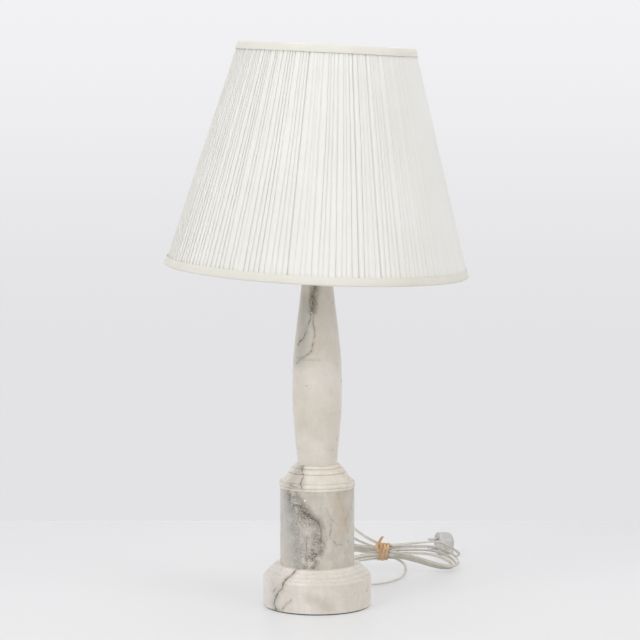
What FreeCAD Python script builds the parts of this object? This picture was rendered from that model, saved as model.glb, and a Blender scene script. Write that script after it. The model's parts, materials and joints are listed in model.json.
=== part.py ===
"""Column table lamp: turned stone stem, tilting head, harp and pleated shade.

Millimetres, +Z up, origin at the bottom centre of the base.  The head and the
shade are drawn upright on the lamp's axis and then leaned about the knuckle.
"""
import FreeCAD, Part
import math
import os

V = FreeCAD.Vector
UP = V(0, 0, 1)
ORIGIN = V(0, 0, 0)

# ---------------------------------------------------------------- driving sizes
# stone stem
base_radius = 89.5
base_wall_height = 46.0
base_height = 70.0
drum_radius = 61.3
drum_height = 127.5
cornice_height = 38.5
cornice_radius = 64.2
column_height = 320.0
column_foot_radius = 32.7
column_belly_radius = 40.9
column_top_radius = 24.2
rod_hole_radius = 5.5
recess_radius = 34.0
recess_depth = 34.0
felt_thickness = 2.0
felt_inset = 3.0

# tie rod and its fastenings
rod_radius = 5.0
rod_bore_radius = 3.4
rod_below_recess = 12.0
rod_above_nut = 6.0
washer_radius = 22.0
washer_thickness = 2.0
base_nut_flats = 17.0
nut_height = 5.0
neck_cap_radius = 24.0
neck_cap_height = 6.0
top_nut_flats = 16.0

# knuckle under the lampholder
pivot_rise = 11.0
knuckle_radius = 9.0
fork_ear = 3.2
tongue_width = 15.0
tongue_hollow = 8.4
clamp_screw_radius = 2.5
clamp_grip_radius = 8.0
clamp_grip_length = 9.0
clamp_grip_flutes = 12
clamp_flute_radius = 1.1
clamp_nut_flats = 9.0
clamp_nut_height = 4.0
tongue_rise = 12.0
head_boss_height = 6.0
lean_degrees = 3.83
hinge_azimuth = 45.0

# lampholder and switch
saddle_thickness = 1.6
saddle_width = 14.0
saddle_half_span = 31.0
saddle_post_height = 16.0
holder_radius = 19.5
holder_wall = 0.7
holder_cap_height = 17.0
holder_shell_height = 44.0
core_radius = 16.6
core_height = 20.0
terminal_space = 12.0
thread_radius = 13.9
thread_wall = 0.5
thread_depth = 1.0
thread_pitch = 3.63
thread_turns = 6
key_height = 24.0
key_spindle_radius = 2.2
key_reach = 15.0
key_grip_length = 15.0
key_grip_width = 11.0
key_grip_thickness = 3.6
terminal_radius = 2.4
contact_width = 5.0
contact_thickness = 0.6

# bulb
bulb_radius = 30.0
bulb_length = 105.0
bulb_glass = 0.7
bulb_cap_length = 24.0
bulb_foot_height = 4.0
bulb_stem_radius = 4.2
bulb_stem_height = 26.0
filament_radius = 0.5

# harp
wire_radius = 1.6
harp_half_width = 57.0
harp_leg = 36.0
sleeve_radius = 3.7
sleeve_length = 19.0
stud_radius = 3.0
stud_above_hub = 11.0
collar_radius = 8.5
collar_height = 7.0

# shade
shade_bottom_radius = 250.0
shade_top_radius = 145.0
shade_bottom_z = 556.5
shade_height = 366.5
pleat_groups = 42
pleats_in_group = 4
wide_pleat_share = 0.37
pleat_depth_bottom = 2.6
pleat_depth_top = 2.2
pleat_return_share = 0.14
cover_rows = 3
cover_inner_sides = 168
cover_cloth = 0.6
lining_thickness = 0.8
trim_thickness = 1.1
bottom_trim_height = 14.0
top_trim_height = 12.7
trim_inner_height = 9.0
ring_wire_radius = 1.6
rib_wire_radius = 1.2
rib_count = 12
spider_arms = 3
spider_drop = 25.0
spider_bend_radius = 8.0
hub_radius = 13.0
hub_thickness = 2.4
finial_radius = 8.5
finial_height = 17.0

# flex, plug and tie
flex_diameter = 5.0
exit_height = 11.0
grommet_flange = 2.0
hank_turns = 3.6
hank_centre_x = 120.0
hank_centre_y = 304.0
waist_height = 31.5
waist_half = 3.4
waist_pitch = 6.0
waist_tilt = 30.0
left_reach = 122.0
left_reach_change = 5.0
left_swell = 62.0
left_tilt = 40.0
left_fan = 0.55
left_drop = 2.0
right_reach = 122.0
right_reach_growth = 5.6
right_swell = 52.0
right_swell_growth = 15.0
right_tilt = 7.0
right_fan = -0.35
right_drop = 22.0
stray_reach = 104.0
stray_swell = 40.0
stray_rise = 50.0
tie_width = 22.0
tie_thickness = 1.8
plug_radius = 21.0
plug_length = 31.0
plug_x = 239.0
plug_y = 446.0
plug_azimuth = 195.0
relief_dip = 15.0
pin_radius = 2.4
pin_spacing = 19.0
pin_length = 19.0
relief_length = 26.0
relief_seat = 4.0

# clearances
seat_gap = 0.05
running_gap = 0.08
loose_gap = 0.3
cloth_gap = 0.15

# ------------------------------------------------------- sizes that follow on
base_top = base_height
drum_top = base_top + drum_height
cornice_top = drum_top + cornice_height
column_top = cornice_top + column_height
neck_cap_top = column_top + neck_cap_height
top_nut_top = neck_cap_top + nut_height
fork_base_top = top_nut_top + rod_above_nut
pivot_z = fork_base_top + pivot_rise
boss_bottom = pivot_z + tongue_rise
saddle_bottom = boss_bottom + head_boss_height
holder_bottom = saddle_bottom + saddle_thickness
shell_bottom = holder_bottom + holder_cap_height - 3.0
holder_top = shell_bottom + holder_shell_height
core_bottom = holder_bottom + terminal_space
core_top = core_bottom + core_height
bulb_cap_low = core_top + 2.0 * thread_pitch
bulb_tip_contact = bulb_cap_low - bulb_foot_height
shade_top_z = shade_bottom_z + shade_height
shade_slope = (shade_bottom_radius - shade_top_radius) / shade_height
ring_inset = (trim_thickness + cloth_gap + pleat_depth_bottom + cover_cloth + cloth_gap
              + lining_thickness + cloth_gap + ring_wire_radius)
top_ring_z = shade_top_z - trim_thickness - cloth_gap - ring_wire_radius
bottom_ring_z = shade_bottom_z + trim_thickness + cloth_gap + ring_wire_radius
hub_top = top_ring_z - spider_drop
hub_bottom = hub_top - hub_thickness
collar_bottom = hub_bottom - collar_height
flex_radius = flex_diameter / 2.0


# -------------------------------------------------------------------- helpers
def cylinder(radius, bottom, top):
    return Part.makeCylinder(radius, top - bottom, V(0, 0, bottom))


def tube(outer, inner, bottom, top):
    return cylinder(outer, bottom, top).cut(cylinder(inner, bottom, top))


def hexagon(flats, bottom, top):
    """Hexagonal prism, with its size across the flats."""
    corner = flats / math.sqrt(3.0)
    points = []
    for side in range(7):
        angle = math.radians(60.0 * side)
        points.append(V(corner * math.cos(angle), corner * math.sin(angle), bottom))
    return Part.Face(Part.makePolygon(points)).extrude(V(0, 0, top - bottom))


def outline(steps):
    """Closed outline in the XZ plane.  A step is a point, or a pair: through, end."""
    points = [V(steps[0][0], 0, steps[0][1])]
    edges = []
    for step in steps[1:] + [steps[0]]:
        start = points[-1]
        if isinstance(step[0], tuple):
            through = V(step[0][0], 0, step[0][1])
            end = V(step[1][0], 0, step[1][1])
            edges.append(Part.Arc(start, through, end).toShape())
        else:
            end = V(step[0], 0, step[1])
            if (end - start).Length > 1e-6:
                edges.append(Part.makeLine(start, end))
        points.append(end)
    return Part.Wire(edges)


def turned(steps):
    return Part.Face(outline(steps)).revolve(ORIGIN, UP, 360)


def bulge(start, end, height):
    """An arc step from start to end that swells to the right of the way there."""
    run = end[0] - start[0]
    rise = end[1] - start[1]
    length = math.hypot(run, rise)
    middle_r = (start[0] + end[0]) / 2.0 + rise / length * height
    middle_z = (start[1] + end[1]) / 2.0 - run / length * height
    return ((middle_r, middle_z), end)


def aimed(shape, at, direction):
    """Move a shape drawn on +Z from the origin to a place and a direction."""
    turn = FreeCAD.Rotation(UP, direction)
    shape.Placement = FreeCAD.Placement(at, turn).multiply(shape.Placement)
    return shape


def biarc(start, start_way, end, end_way):
    """Two tangent arcs from one point and direction to another."""
    t0 = V(start_way).normalize()
    t1 = V(end_way).normalize()
    chord = end - start
    both = t0 + t1
    a = 2.0 * (1.0 - t0.dot(t1))
    b = 2.0 * chord.dot(both)
    c = -chord.dot(chord)
    if abs(a) < 1e-9:
        reach = -c / b
    else:
        reach = (-b + math.sqrt(b * b - 4.0 * a * c)) / (2.0 * a)
    corner_0 = start + t0 * reach
    corner_1 = end - t1 * reach
    joint = (corner_0 + corner_1) * 0.5
    return [tangent_arc(start, corner_0, joint), tangent_arc(joint, corner_1, end)]


def tangent_arc(start, corner, end):
    """Arc that touches start-corner at start and corner-end at end."""
    way_in = (corner - start).normalize()
    way_out = (end - corner).normalize()
    half_turn = way_in.getAngle(way_out) / 2.0
    if half_turn < 1e-5:
        return Part.makeLine(start, end)
    leg = (corner - start).Length
    radius = leg / math.tan(half_turn)
    inward = (way_out - way_in).normalize()
    middle = corner + inward * (radius / math.cos(half_turn) - radius)
    return Part.Arc(start, middle, end).toShape()


def smooth_path(points, ways):
    edges = []
    for index in range(len(points) - 1):
        edges += biarc(points[index], ways[index], points[index + 1], ways[index + 1])
    return Part.Wire(edges)


def rod_along(path, radius):
    """Round bar or tube along a path, by a pipe shell."""
    first = path.OrderedEdges[0]
    start = first.valueAt(first.FirstParameter)
    way = first.tangentAt(first.FirstParameter)
    if first.Orientation == "Reversed":
        start = first.valueAt(first.LastParameter)
        way = first.tangentAt(first.LastParameter) * -1.0
    ring = Part.Wire(Part.Circle(start, way, radius).toShape())
    return Part.Wire(path.OrderedEdges).makePipeShell([ring], True, False)


def fillet_path(points, least_radius, name):
    """Straight runs joined by arcs of 0.45 of the shorter run, with the radii printed."""
    edges = []
    radii = []
    last = points[0]
    for before, corner, after in zip(points, points[1:], points[2:]):
        way_in = (corner - before).normalize()
        way_out = (after - corner).normalize()
        half_turn = way_in.getAngle(way_out) / 2.0
        leg = 0.45 * min((corner - before).Length, (after - corner).Length)
        arc_start = corner - way_in * leg
        arc_end = corner + way_out * leg
        radii.append(leg / math.tan(half_turn))
        edges.append(Part.LineSegment(last, arc_start).toShape())
        edges.append(tangent_arc(arc_start, corner, arc_end))
        last = arc_end
    edges.append(Part.LineSegment(last, points[-1]).toShape())
    print(name, "radii", [round(radius, 1) for radius in radii], "least wanted", least_radius)
    return Part.Wire(edges)


def flex_tube(path, name):
    solid = rod_along(path, flex_radius)
    lowest = solid.optimalBoundingBox(False).ZMin
    expected = math.pi * flex_radius ** 2 * path.Length
    print(name, "length %.1f" % path.Length, "volume ratio %.4f" % (solid.Volume / expected),
          "valid", solid.isValid(), "lowest %.2f" % lowest)
    return solid


def hinge_placement():
    return FreeCAD.Placement(ORIGIN, FreeCAD.Rotation(UP, hinge_azimuth))


def on_hinge(shape):
    """Turn a piece drawn with the hinge along X to the hinge's azimuth."""
    shape.Placement = hinge_placement().multiply(shape.Placement)
    return shape


def head_placement():
    pivot = V(0, 0, pivot_z)
    hinge_way = hinge_placement().Rotation.multVec(V(1, 0, 0))
    lean = FreeCAD.Placement(ORIGIN, FreeCAD.Rotation(hinge_way, lean_degrees), pivot)
    return lean.multiply(hinge_placement())


def leaned(shape):
    """Turn a head piece to the hinge's azimuth and lean it about the pivot."""
    shape.Placement = head_placement().multiply(shape.Placement)
    return shape


NODES = {}


def node(name, shape):
    NODES[name] = shape
    return shape


# ---------------------------------------------------------------- stone stem
def make_stem():
    make_plinth()
    node("felt_pad", cylinder(base_radius - felt_inset, 0, felt_thickness))
    node("drum", tube(drum_radius, rod_hole_radius, base_top, drum_top))
    make_cornice()
    make_column()


def make_plinth():
    shoulder = base_top - base_wall_height
    edge = base_radius
    steps = [
        (rod_hole_radius, felt_thickness + recess_depth),
        (recess_radius, felt_thickness + recess_depth),
        (recess_radius, felt_thickness),
        (edge - 1.0, felt_thickness),
        (edge, felt_thickness + 1.0),
        (edge, base_wall_height),
    ]
    # four rounded rings from the wall up to the ledge under the drum, with grooves between:
    # how far in each one starts and ends, at which share of the shoulder, and its swell
    rings = (
        (0.0, 0.0, 2.4, 0.27, 1.2),
        (3.6, 0.295, 8.2, 0.505, 1.4),
        (9.7, 0.53, 15.0, 0.80, 1.6),
        (16.4, 0.83, 20.6, 1.0, 0.9),
    )
    for start_in, start_share, end_in, end_share, swell in rings:
        start = (edge - start_in, base_wall_height + start_share * shoulder)
        end = (edge - end_in, base_wall_height + end_share * shoulder)
        steps += [start, bulge(start, end, swell)]
    steps.append((rod_hole_radius, base_top))
    stone = turned(steps)
    spot = Part.makeCylinder(grommet_spot_radius(), base_radius, V(0, spot_face_y(), exit_height),
                             V(0, 1, 0))
    hole = Part.makeCylinder(grommet_hole_radius(), base_radius, V(0, recess_radius - 5.0,
                             exit_height), V(0, 1, 0))
    node("plinth", stone.cut(spot).cut(hole))


def grommet_hole_radius():
    return flex_radius + 2.0


def grommet_spot_radius():
    return grommet_hole_radius() + 3.0


def spot_face_y():
    """The flat that the grommet's flange seats on, just inside the round wall."""
    return math.sqrt(base_radius ** 2 - grommet_spot_radius() ** 2) - 0.5


def make_cornice():
    foot = drum_top
    top = cornice_top
    wide = cornice_radius
    steps = [
        (rod_hole_radius, foot),
        (wide - 2.2, foot),
        bulge((wide - 2.2, foot), (wide - 2.2, foot + 3.6), 0.5),
        (wide - 3.2, foot + 4.0),
        (wide - 2.0, foot + 4.4),
        bulge((wide - 2.0, foot + 4.4), (wide - 3.4, foot + 11.0), 1.3),
        (wide - 5.0, foot + 11.2),
        (wide - 4.4, foot + 12.0),
        bulge((wide - 4.4, foot + 12.0), (wide - 16.4, top - 13.6), -1.2),
        (wide - 18.8, top - 13.4),
        (wide - 17.8, top - 12.6),
        bulge((wide - 17.8, top - 12.6), (wide - 23.2, top - 5.6), 1.3),
        (wide - 25.4, top - 5.4),
        (wide - 24.8, top - 4.8),
        bulge((wide - 24.8, top - 4.8), (wide - 27.0, top - 0.8), 0.9),
        (column_foot_radius + 2.0, top - 0.5),
        (column_foot_radius + 1.4, top),
        (rod_hole_radius, top),
    ]
    node("cornice", turned(steps))


def make_column():
    """Swelling shaft: a spline through the foot, belly and top radii."""
    places = (
        (0.0, column_foot_radius),
        (0.115, column_foot_radius + 0.38 * (column_belly_radius - column_foot_radius)),
        (0.235, column_foot_radius + 0.80 * (column_belly_radius - column_foot_radius)),
        (0.43, column_belly_radius),
        (0.545, column_belly_radius - 0.09 * (column_belly_radius - column_top_radius)),
        (0.765, column_belly_radius - 0.54 * (column_belly_radius - column_top_radius)),
        (1.0, column_top_radius),
    )
    points = [V(radius, 0, cornice_top + share * column_height) for share, radius in places]
    curve = Part.BSplineCurve()
    curve.interpolate(points)
    top = V(0, 0, column_top)
    foot = V(0, 0, cornice_top)
    edges = [curve.toShape(), Part.makeLine(points[-1], top), Part.makeLine(top, foot),
             Part.makeLine(foot, points[0])]
    shaft = Part.Face(Part.Wire(edges)).revolve(ORIGIN, UP, 360)
    node("column", shaft.cut(cylinder(rod_hole_radius, cornice_top, column_top)))


# ------------------------------------------------------- rod and fastenings
def make_rod():
    recess_roof = felt_thickness + recess_depth
    rod_bottom = recess_roof - rod_below_recess
    rod_top = fork_base_top - 1.0
    node("tie_rod", tube(rod_radius, rod_bore_radius, rod_bottom, rod_top))
    bored = rod_radius + seat_gap
    washer_bottom = recess_roof - washer_thickness
    node("base_washer", tube(washer_radius, bored, washer_bottom, recess_roof))
    nut = hexagon(base_nut_flats, washer_bottom - nut_height, washer_bottom)
    node("base_nut", nut.cut(cylinder(bored, washer_bottom - nut_height, washer_bottom)))
    make_neck_cap(bored)
    top_nut = hexagon(top_nut_flats, neck_cap_top, top_nut_top)
    node("top_nut", top_nut.cut(cylinder(bored, neck_cap_top, top_nut_top)))


def make_neck_cap(bored):
    rim = neck_cap_radius
    steps = [
        (bored, column_top),
        (rim - 0.4, column_top),
        bulge((rim - 0.4, column_top), (rim - 0.4, column_top + 2.0), 0.8),
        (rim - 2.0, column_top + 2.2),
        bulge((rim - 2.0, column_top + 2.2), (top_nut_flats * 0.7, neck_cap_top), 1.0),
        (bored, neck_cap_top),
    ]
    node("neck_cap", turned(steps))


def make_grommet_and_inner_flex():
    spot = spot_face_y()
    sleeve_start = recess_radius - 1.5
    bore = flex_radius + seat_gap
    sleeve = Part.makeCylinder(grommet_hole_radius() - seat_gap, spot - sleeve_start,
                               V(0, sleeve_start, exit_height), V(0, 1, 0))
    flange = Part.makeCylinder(grommet_spot_radius() - loose_gap, grommet_flange,
                               V(0, spot, exit_height), V(0, 1, 0))
    lip = Part.makeCone(grommet_spot_radius() - 2.0, flex_radius + 1.2, grommet_flange * 1.5,
                        V(0, spot + grommet_flange, exit_height), V(0, 1, 0))
    drilled = Part.makeCylinder(bore, base_radius, V(0, sleeve_start, exit_height), V(0, 1, 0))
    node("cord_grommet", sleeve.fuse(flange).fuse(lip).cut(drilled))
    # the held length: in through the back, round in the recess and up the rod
    bend = felt_thickness + recess_depth - rod_below_recess - exit_height - 1.0
    edges = [
        Part.makeLine(V(0, cord_exit_y(), exit_height), V(0, bend, exit_height)),
        Part.Arc(V(0, bend, exit_height),
                 V(0, bend * (1 - math.sin(math.pi / 4)),
                   exit_height + bend * (1 - math.cos(math.pi / 4))),
                 V(0, 0, exit_height + bend)).toShape(),
        Part.makeLine(V(0, 0, exit_height + bend), V(0, 0, fork_base_top - 2.0)),
    ]
    node("inner_flex", rod_along(Part.Wire(edges), flex_radius))


def cord_exit_y():
    return spot_face_y() + grommet_flange * 2.5


# -------------------------------------------------------------------- knuckle
def make_knuckle():
    half_tongue = tongue_width / 2.0
    ear_outside = half_tongue + running_gap + fork_ear
    screw_hole = clamp_screw_radius + running_gap
    # fork, fixed on the rod
    boss = cylinder(ear_outside, top_nut_top, fork_base_top)
    boss = boss.cut(cylinder(rod_radius + seat_gap, top_nut_top, fork_base_top))
    ears = boss
    for side in (-1, 1):
        inner = half_tongue + running_gap
        low_x = inner if side > 0 else -ear_outside
        cheek = Part.makeBox(fork_ear, 2 * knuckle_radius - 2.0, pivot_rise,
                             V(low_x, 1.0 - knuckle_radius, fork_base_top))
        disc = Part.makeCylinder(knuckle_radius, fork_ear, V(low_x, 0, pivot_z), V(1, 0, 0))
        ears = ears.fuse(cheek).fuse(disc)
    drill = Part.makeCylinder(screw_hole, 4 * knuckle_radius,
                              V(-2 * knuckle_radius, 0, pivot_z), V(1, 0, 0))
    node("knuckle_fork", on_hinge(ears.removeSplitter().cut(drill)))
    # tongue, which carries the head
    disc = Part.makeCylinder(knuckle_radius, tongue_width, V(-half_tongue, 0, pivot_z), V(1, 0, 0))
    neck = Part.makeBox(tongue_width, 2 * knuckle_radius - 2.0, tongue_rise,
                        V(-half_tongue, 1.0 - knuckle_radius, pivot_z))
    top = cylinder(ear_outside, boss_bottom, saddle_bottom)
    solid = disc.fuse(neck).fuse(top)
    hollow = Part.makeBox(tongue_hollow, 4 * knuckle_radius, knuckle_radius + tongue_rise,
                          V(-tongue_hollow / 2.0, -2 * knuckle_radius, pivot_z - knuckle_radius))
    bore = cylinder(rod_radius + seat_gap, boss_bottom - 1.0, saddle_bottom)
    node("knuckle_tongue", leaned(solid.cut(hollow).cut(bore).cut(drill)))
    make_clamp_screw(ear_outside)


def make_clamp_screw(ear_outside):
    nut_start = -ear_outside - clamp_nut_height
    shank = Part.makeCylinder(clamp_screw_radius, ear_outside - nut_start + 1.0,
                              V(nut_start - 1.0, 0, 0), V(1, 0, 0))
    grip_start = ear_outside + running_gap
    grip = Part.makeCylinder(clamp_grip_radius, clamp_grip_length, V(grip_start, 0, 0), V(1, 0, 0))
    flutes = []
    for index in range(clamp_grip_flutes):
        flute = Part.makeCylinder(clamp_flute_radius, clamp_grip_length,
                                  V(grip_start, clamp_grip_radius + 0.5, 0), V(1, 0, 0))
        flute.rotate(ORIGIN, V(1, 0, 0), index * 360.0 / clamp_grip_flutes)
        flutes.append(flute)
    grip = grip.cut(Part.makeCompound(flutes))
    screw = shank.fuse(grip)
    screw.translate(V(0, 0, pivot_z))
    node("clamp_screw", on_hinge(screw))
    nut = hexagon(clamp_nut_flats, 0, clamp_nut_height)
    nut = nut.cut(cylinder(clamp_screw_radius + running_gap, 0, clamp_nut_height))
    aimed(nut, V(-ear_outside, 0, pivot_z), V(-1, 0, 0))
    node("clamp_nut", on_hinge(nut))


# ---------------------------------------------------------------- lampholder
def make_holder():
    nipple_top = holder_bottom + 5.0
    nipple = tube(rod_radius, rod_bore_radius, boss_bottom + 1.0, nipple_top)
    node("nipple", leaned(nipple))
    bored = rod_radius + seat_gap
    lock = hexagon(top_nut_flats, holder_bottom + holder_wall, holder_bottom + holder_wall + 3.0)
    lock = lock.cut(cylinder(bored, holder_bottom, nipple_top))
    node("holder_locknut", leaned(lock))
    make_saddle(bored)
    make_cap_and_shell(bored)
    make_core()
    make_key()
    make_core_wires()


def make_saddle(bored):
    half = saddle_half_span
    plate = Part.makeBox(2 * half, saddle_width, saddle_thickness,
                         V(-half, -saddle_width / 2.0, saddle_bottom))
    saddle = plate.cut(cylinder(bored, saddle_bottom, holder_bottom))
    for side in (-1, 1):
        ear = cylinder(saddle_width / 2.0, saddle_bottom, holder_bottom)
        ear.translate(V(side * half, 0, 0))
        post = cylinder(sleeve_radius, holder_bottom, holder_bottom + saddle_post_height)
        post = post.fuse(cylinder(wire_radius, holder_bottom, post_top()))
        post.translate(V(side * half, 0, 0))
        saddle = saddle.fuse(ear).fuse(post)
    node("harp_saddle", leaned(saddle.removeSplitter()))


def post_top():
    """The stub that the harp's leg stands on, half way up inside the sleeve."""
    return holder_bottom + saddle_post_height + sleeve_length / 2.0


def make_cap_and_shell(bored):
    r = holder_radius
    w = holder_wall
    foot = holder_bottom
    rim = foot + holder_cap_height
    steps = [
        (bored, foot),
        (11.0, foot),
        bulge((11.0, foot), (r - 1.0, foot + 7.0), 2.0),
        bulge((r - 1.0, foot + 7.0), (r, rim - 4.0), 0.4),
        (r + 0.8, rim - 3.4),
        (r + 0.8, rim),
        (r + 0.8 - w, rim),
        (r + 0.8 - w, rim - 3.4),
        (r - w, rim - 4.0),
        bulge((r - w, rim - 4.0), (r - 1.0 - w, foot + 7.0 + w), -0.4),
        bulge((r - 1.0 - w, foot + 7.0 + w), (11.0, foot + w), -1.8),
        (bored, foot + w),
    ]
    node("holder_cap", leaned(turned(steps)))
    low = shell_bottom
    top = holder_top
    steps = [
        (r, low),
        (r, top - 12.0),
        bulge((r, top - 12.0), (r + 0.3, top - 9.0), 0.7),
        (r - 0.4, top - 8.0),
        bulge((r - 0.4, top - 8.0), (r - 1.2, top - 1.0), 0.5),
        (r - 1.6, top),
        (r - 3.6, top),
        (r - 3.6, top - w),
        (r - 1.8, top - w),
        (r - 1.2 - w, top - 8.0),
        (r - w, top - 12.0),
        (r - w, low),
    ]
    shell = turned(steps)
    slot = Part.makeCylinder(key_spindle_radius + loose_gap, 2 * r, V(0, 0, key_z()), V(0, 1, 0))
    node("holder_shell", leaned(shell.cut(slot)))
    liner = tube(r - w - cloth_gap, r - w - cloth_gap - 0.5, rim + 1.0, top - 13.0)
    node("holder_liner", leaned(liner.cut(slot)))


def key_z():
    return holder_bottom + key_height


def make_core():
    """Porcelain core with its two terminals, screw shell and centre contact."""
    core = cylinder(core_radius, core_bottom, core_top)
    spindle = Part.makeCylinder(key_spindle_radius + running_gap, 2 * core_radius,
                                V(0, 3.0, key_z()), V(0, 1, 0))
    core = core.cut(spindle)
    screws = []
    for side in (-1, 1):
        x = side * (core_radius - terminal_radius - 1.6)
        well = cylinder(terminal_radius + loose_gap, core_bottom, core_bottom + 6.0)
        well.translate(V(x, 0, 0))
        core = core.cut(well)
        head = cylinder(terminal_radius, core_bottom + 1.5, core_bottom + 4.0)
        head = head.cut(Part.makeBox(0.8, 2 * terminal_radius, 0.8,
                                     V(-0.4, -terminal_radius, core_bottom + 1.5)))
        shank = cylinder(terminal_radius / 2.0, core_bottom + 4.0, core_bottom + 6.0)
        screw = head.fuse(shank)
        screw.translate(V(x, 0, 0))
        screws.append(screw)
    node("holder_core", leaned(core))
    node("terminal_screws", leaned(Part.makeCompound(screws)))
    node("screw_shell", leaned(make_screw_shell()))
    rise = bulb_tip_contact - core_top - loose_gap
    wide = contact_width
    thick = contact_thickness
    tongue = Part.makeBox(2.4 * wide, wide, thick, V(-1.2 * wide, -wide / 2.0, core_top))
    spring = Part.makeBox(1.2 * wide, wide, thick,
                          V(-0.6 * wide, -wide / 2.0, core_top + rise - thick))
    link = Part.makeBox(thick, wide, rise, V(-0.6 * wide, -wide / 2.0, core_top))
    node("centre_contact", leaned(tongue.fuse(link).fuse(spring)))


def ringed(inner, wall, bottom):
    """Outline of a rolled thread wall: one round ring for each turn."""
    outside = []
    inside = []
    for ring in range(thread_turns):
        low = bottom + ring * thread_pitch
        high = low + thread_pitch
        outside.append(bulge((inner + wall, low), (inner + wall, high), -thread_depth))
        inside.insert(0, bulge((inner, high), (inner, low), thread_depth))
    start = (inner + wall, bottom)
    turn = (inner, bottom + thread_turns * thread_pitch)
    return [start] + outside + [turn] + inside


def make_screw_shell():
    return turned(ringed(thread_radius, thread_wall, core_top))


def make_key():
    spindle = Part.makeCylinder(key_spindle_radius, holder_radius + key_reach - 4.0,
                                V(0, 4.0, 0), V(0, 1, 0))
    grip_y = holder_radius + key_reach
    grip = Part.makeBox(key_grip_width - 4.0, key_grip_length, key_grip_thickness,
                        V(2.0 - key_grip_width / 2.0, grip_y - 1.0, -key_grip_thickness / 2.0))
    ends = []
    for side in (-1, 1):
        x = side * (key_grip_width / 2.0 - key_grip_thickness / 2.0)
        ends.append(Part.makeCylinder(key_grip_thickness / 2.0, key_grip_length,
                                      V(x, grip_y - 1.0, 0), V(0, 1, 0)))
    neck = Part.makeCone(key_spindle_radius + 0.2, key_spindle_radius + 1.4, 4.0,
                         V(0, grip_y - 4.6, 0), V(0, 1, 0))
    key = spindle.fuse(grip).fuse(ends[0]).fuse(ends[1]).fuse(neck)
    key.translate(V(0, 0, key_z()))
    node("switch_key", leaned(key))


def make_core_wires():
    """Two cores from the knuckle up the nipple to the terminals."""
    wires = []
    for side in (-1, 1):
        low = V(side * 0.4, side * 4.8, pivot_z - 3.0)
        inside = V(side * 1.5, 0, boss_bottom + 2.0)
        above = V(side * 1.5, 0, holder_bottom + 5.5)
        end = V(side * (core_radius - terminal_radius - 1.6), 0, core_bottom + 1.4)
        wires.append(rod_along(smooth_path([low, inside, above, end], [UP, UP, UP, UP]), 1.0))
    node("core_wires", leaned(Part.makeCompound(wires)))


# ---------------------------------------------------------------------- bulb
def make_bulb():
    foot = bulb_tip_contact
    neck = foot + bulb_cap_length
    tip = foot + bulb_length
    centre = tip - bulb_radius
    cap_inner = thread_radius - thread_wall - loose_gap
    neck_radius = cap_inner - thread_depth - loose_gap
    glass = bulb_outline(neck_radius, neck - 5.0, bulb_radius, centre, tip)
    inner = bulb_outline(neck_radius - bulb_glass, neck - 5.0, bulb_radius - bulb_glass,
                         centre, tip - bulb_glass)
    node("bulb_glass", leaned(glass.cut(inner)))
    cap = turned(ringed(cap_inner, thread_wall, bulb_cap_low))
    collar_low = bulb_cap_low + thread_turns * thread_pitch
    skirt = tube(cap_inner + thread_wall, cap_inner, collar_low, collar_low + 1.5)
    # black glass between the contact and the cap's turned-in rim
    rim_z = foot + 0.8 * bulb_foot_height
    seat_z = foot + 0.2 * bulb_foot_height
    contact_top = foot + 0.4 * bulb_foot_height
    rim_radius = cap_inner / 2.0
    rim = Part.makeCone(rim_radius, cap_inner + thread_wall, bulb_cap_low - rim_z, V(0, 0, rim_z))
    hollow = Part.makeCone(rim_radius - thread_wall, cap_inner, bulb_cap_low - rim_z,
                           V(0, 0, rim_z))
    node("bulb_cap", leaned(cap.fuse(skirt).fuse(rim.cut(hollow))))
    contact_radius = rim_radius / 2.0
    insulator = Part.makeCone(contact_radius + 1.0, rim_radius - seat_gap, rim_z - seat_z,
                              V(0, 0, seat_z))
    socket = cylinder(contact_radius + seat_gap, seat_z, contact_top)
    node("bulb_insulator", leaned(insulator.cut(socket)))
    node("bulb_contact", leaned(cylinder(contact_radius, foot, contact_top)))
    stem_top = neck + bulb_stem_height
    stem = cylinder(bulb_stem_radius, neck, stem_top)
    stem = stem.fuse(Part.makeSphere(bulb_stem_radius, V(0, 0, stem_top)))
    flare = Part.makeCone(neck_radius - bulb_glass - loose_gap, bulb_stem_radius, 12.0,
                          V(0, 0, neck - 4.0))
    node("bulb_stem", leaned(stem.fuse(flare)))
    make_filament(stem_top + 2.0, centre + 4.0)


def bulb_outline(neck_radius, low, radius, centre, tip):
    """Pear shape: straight neck, a hollow curve out and a round end."""
    swing = math.radians(-38.0)
    edge = (radius * math.cos(swing), centre + radius * math.sin(swing))
    joint = (neck_radius, low + 12.0)
    middle = ((joint[0] + edge[0]) / 2.0 - 1.2, (joint[1] + edge[1]) / 2.0 + 1.8)
    steps = [
        (0, low),
        (neck_radius, low),
        joint,
        (middle, edge),
        ((radius, centre), (0, tip)),
    ]
    return turned(steps)


def make_filament(low, high):
    posts = []
    for side in (-1, 1):
        foot = V(side * 2.0, 0, low)
        hook = V(side * 11.0, 0, high)
        posts.append(rod_along(Part.Wire(Part.makeLine(foot, hook)), filament_radius))
    arc = Part.Arc(V(-11.0, 0, high), V(0, 4.0, high + 2.0), V(11.0, 0, high)).toShape()
    posts.append(rod_along(Part.Wire(arc), filament_radius))
    node("filament", leaned(posts[0].fuse(posts[1]).fuse(posts[2])))


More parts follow.
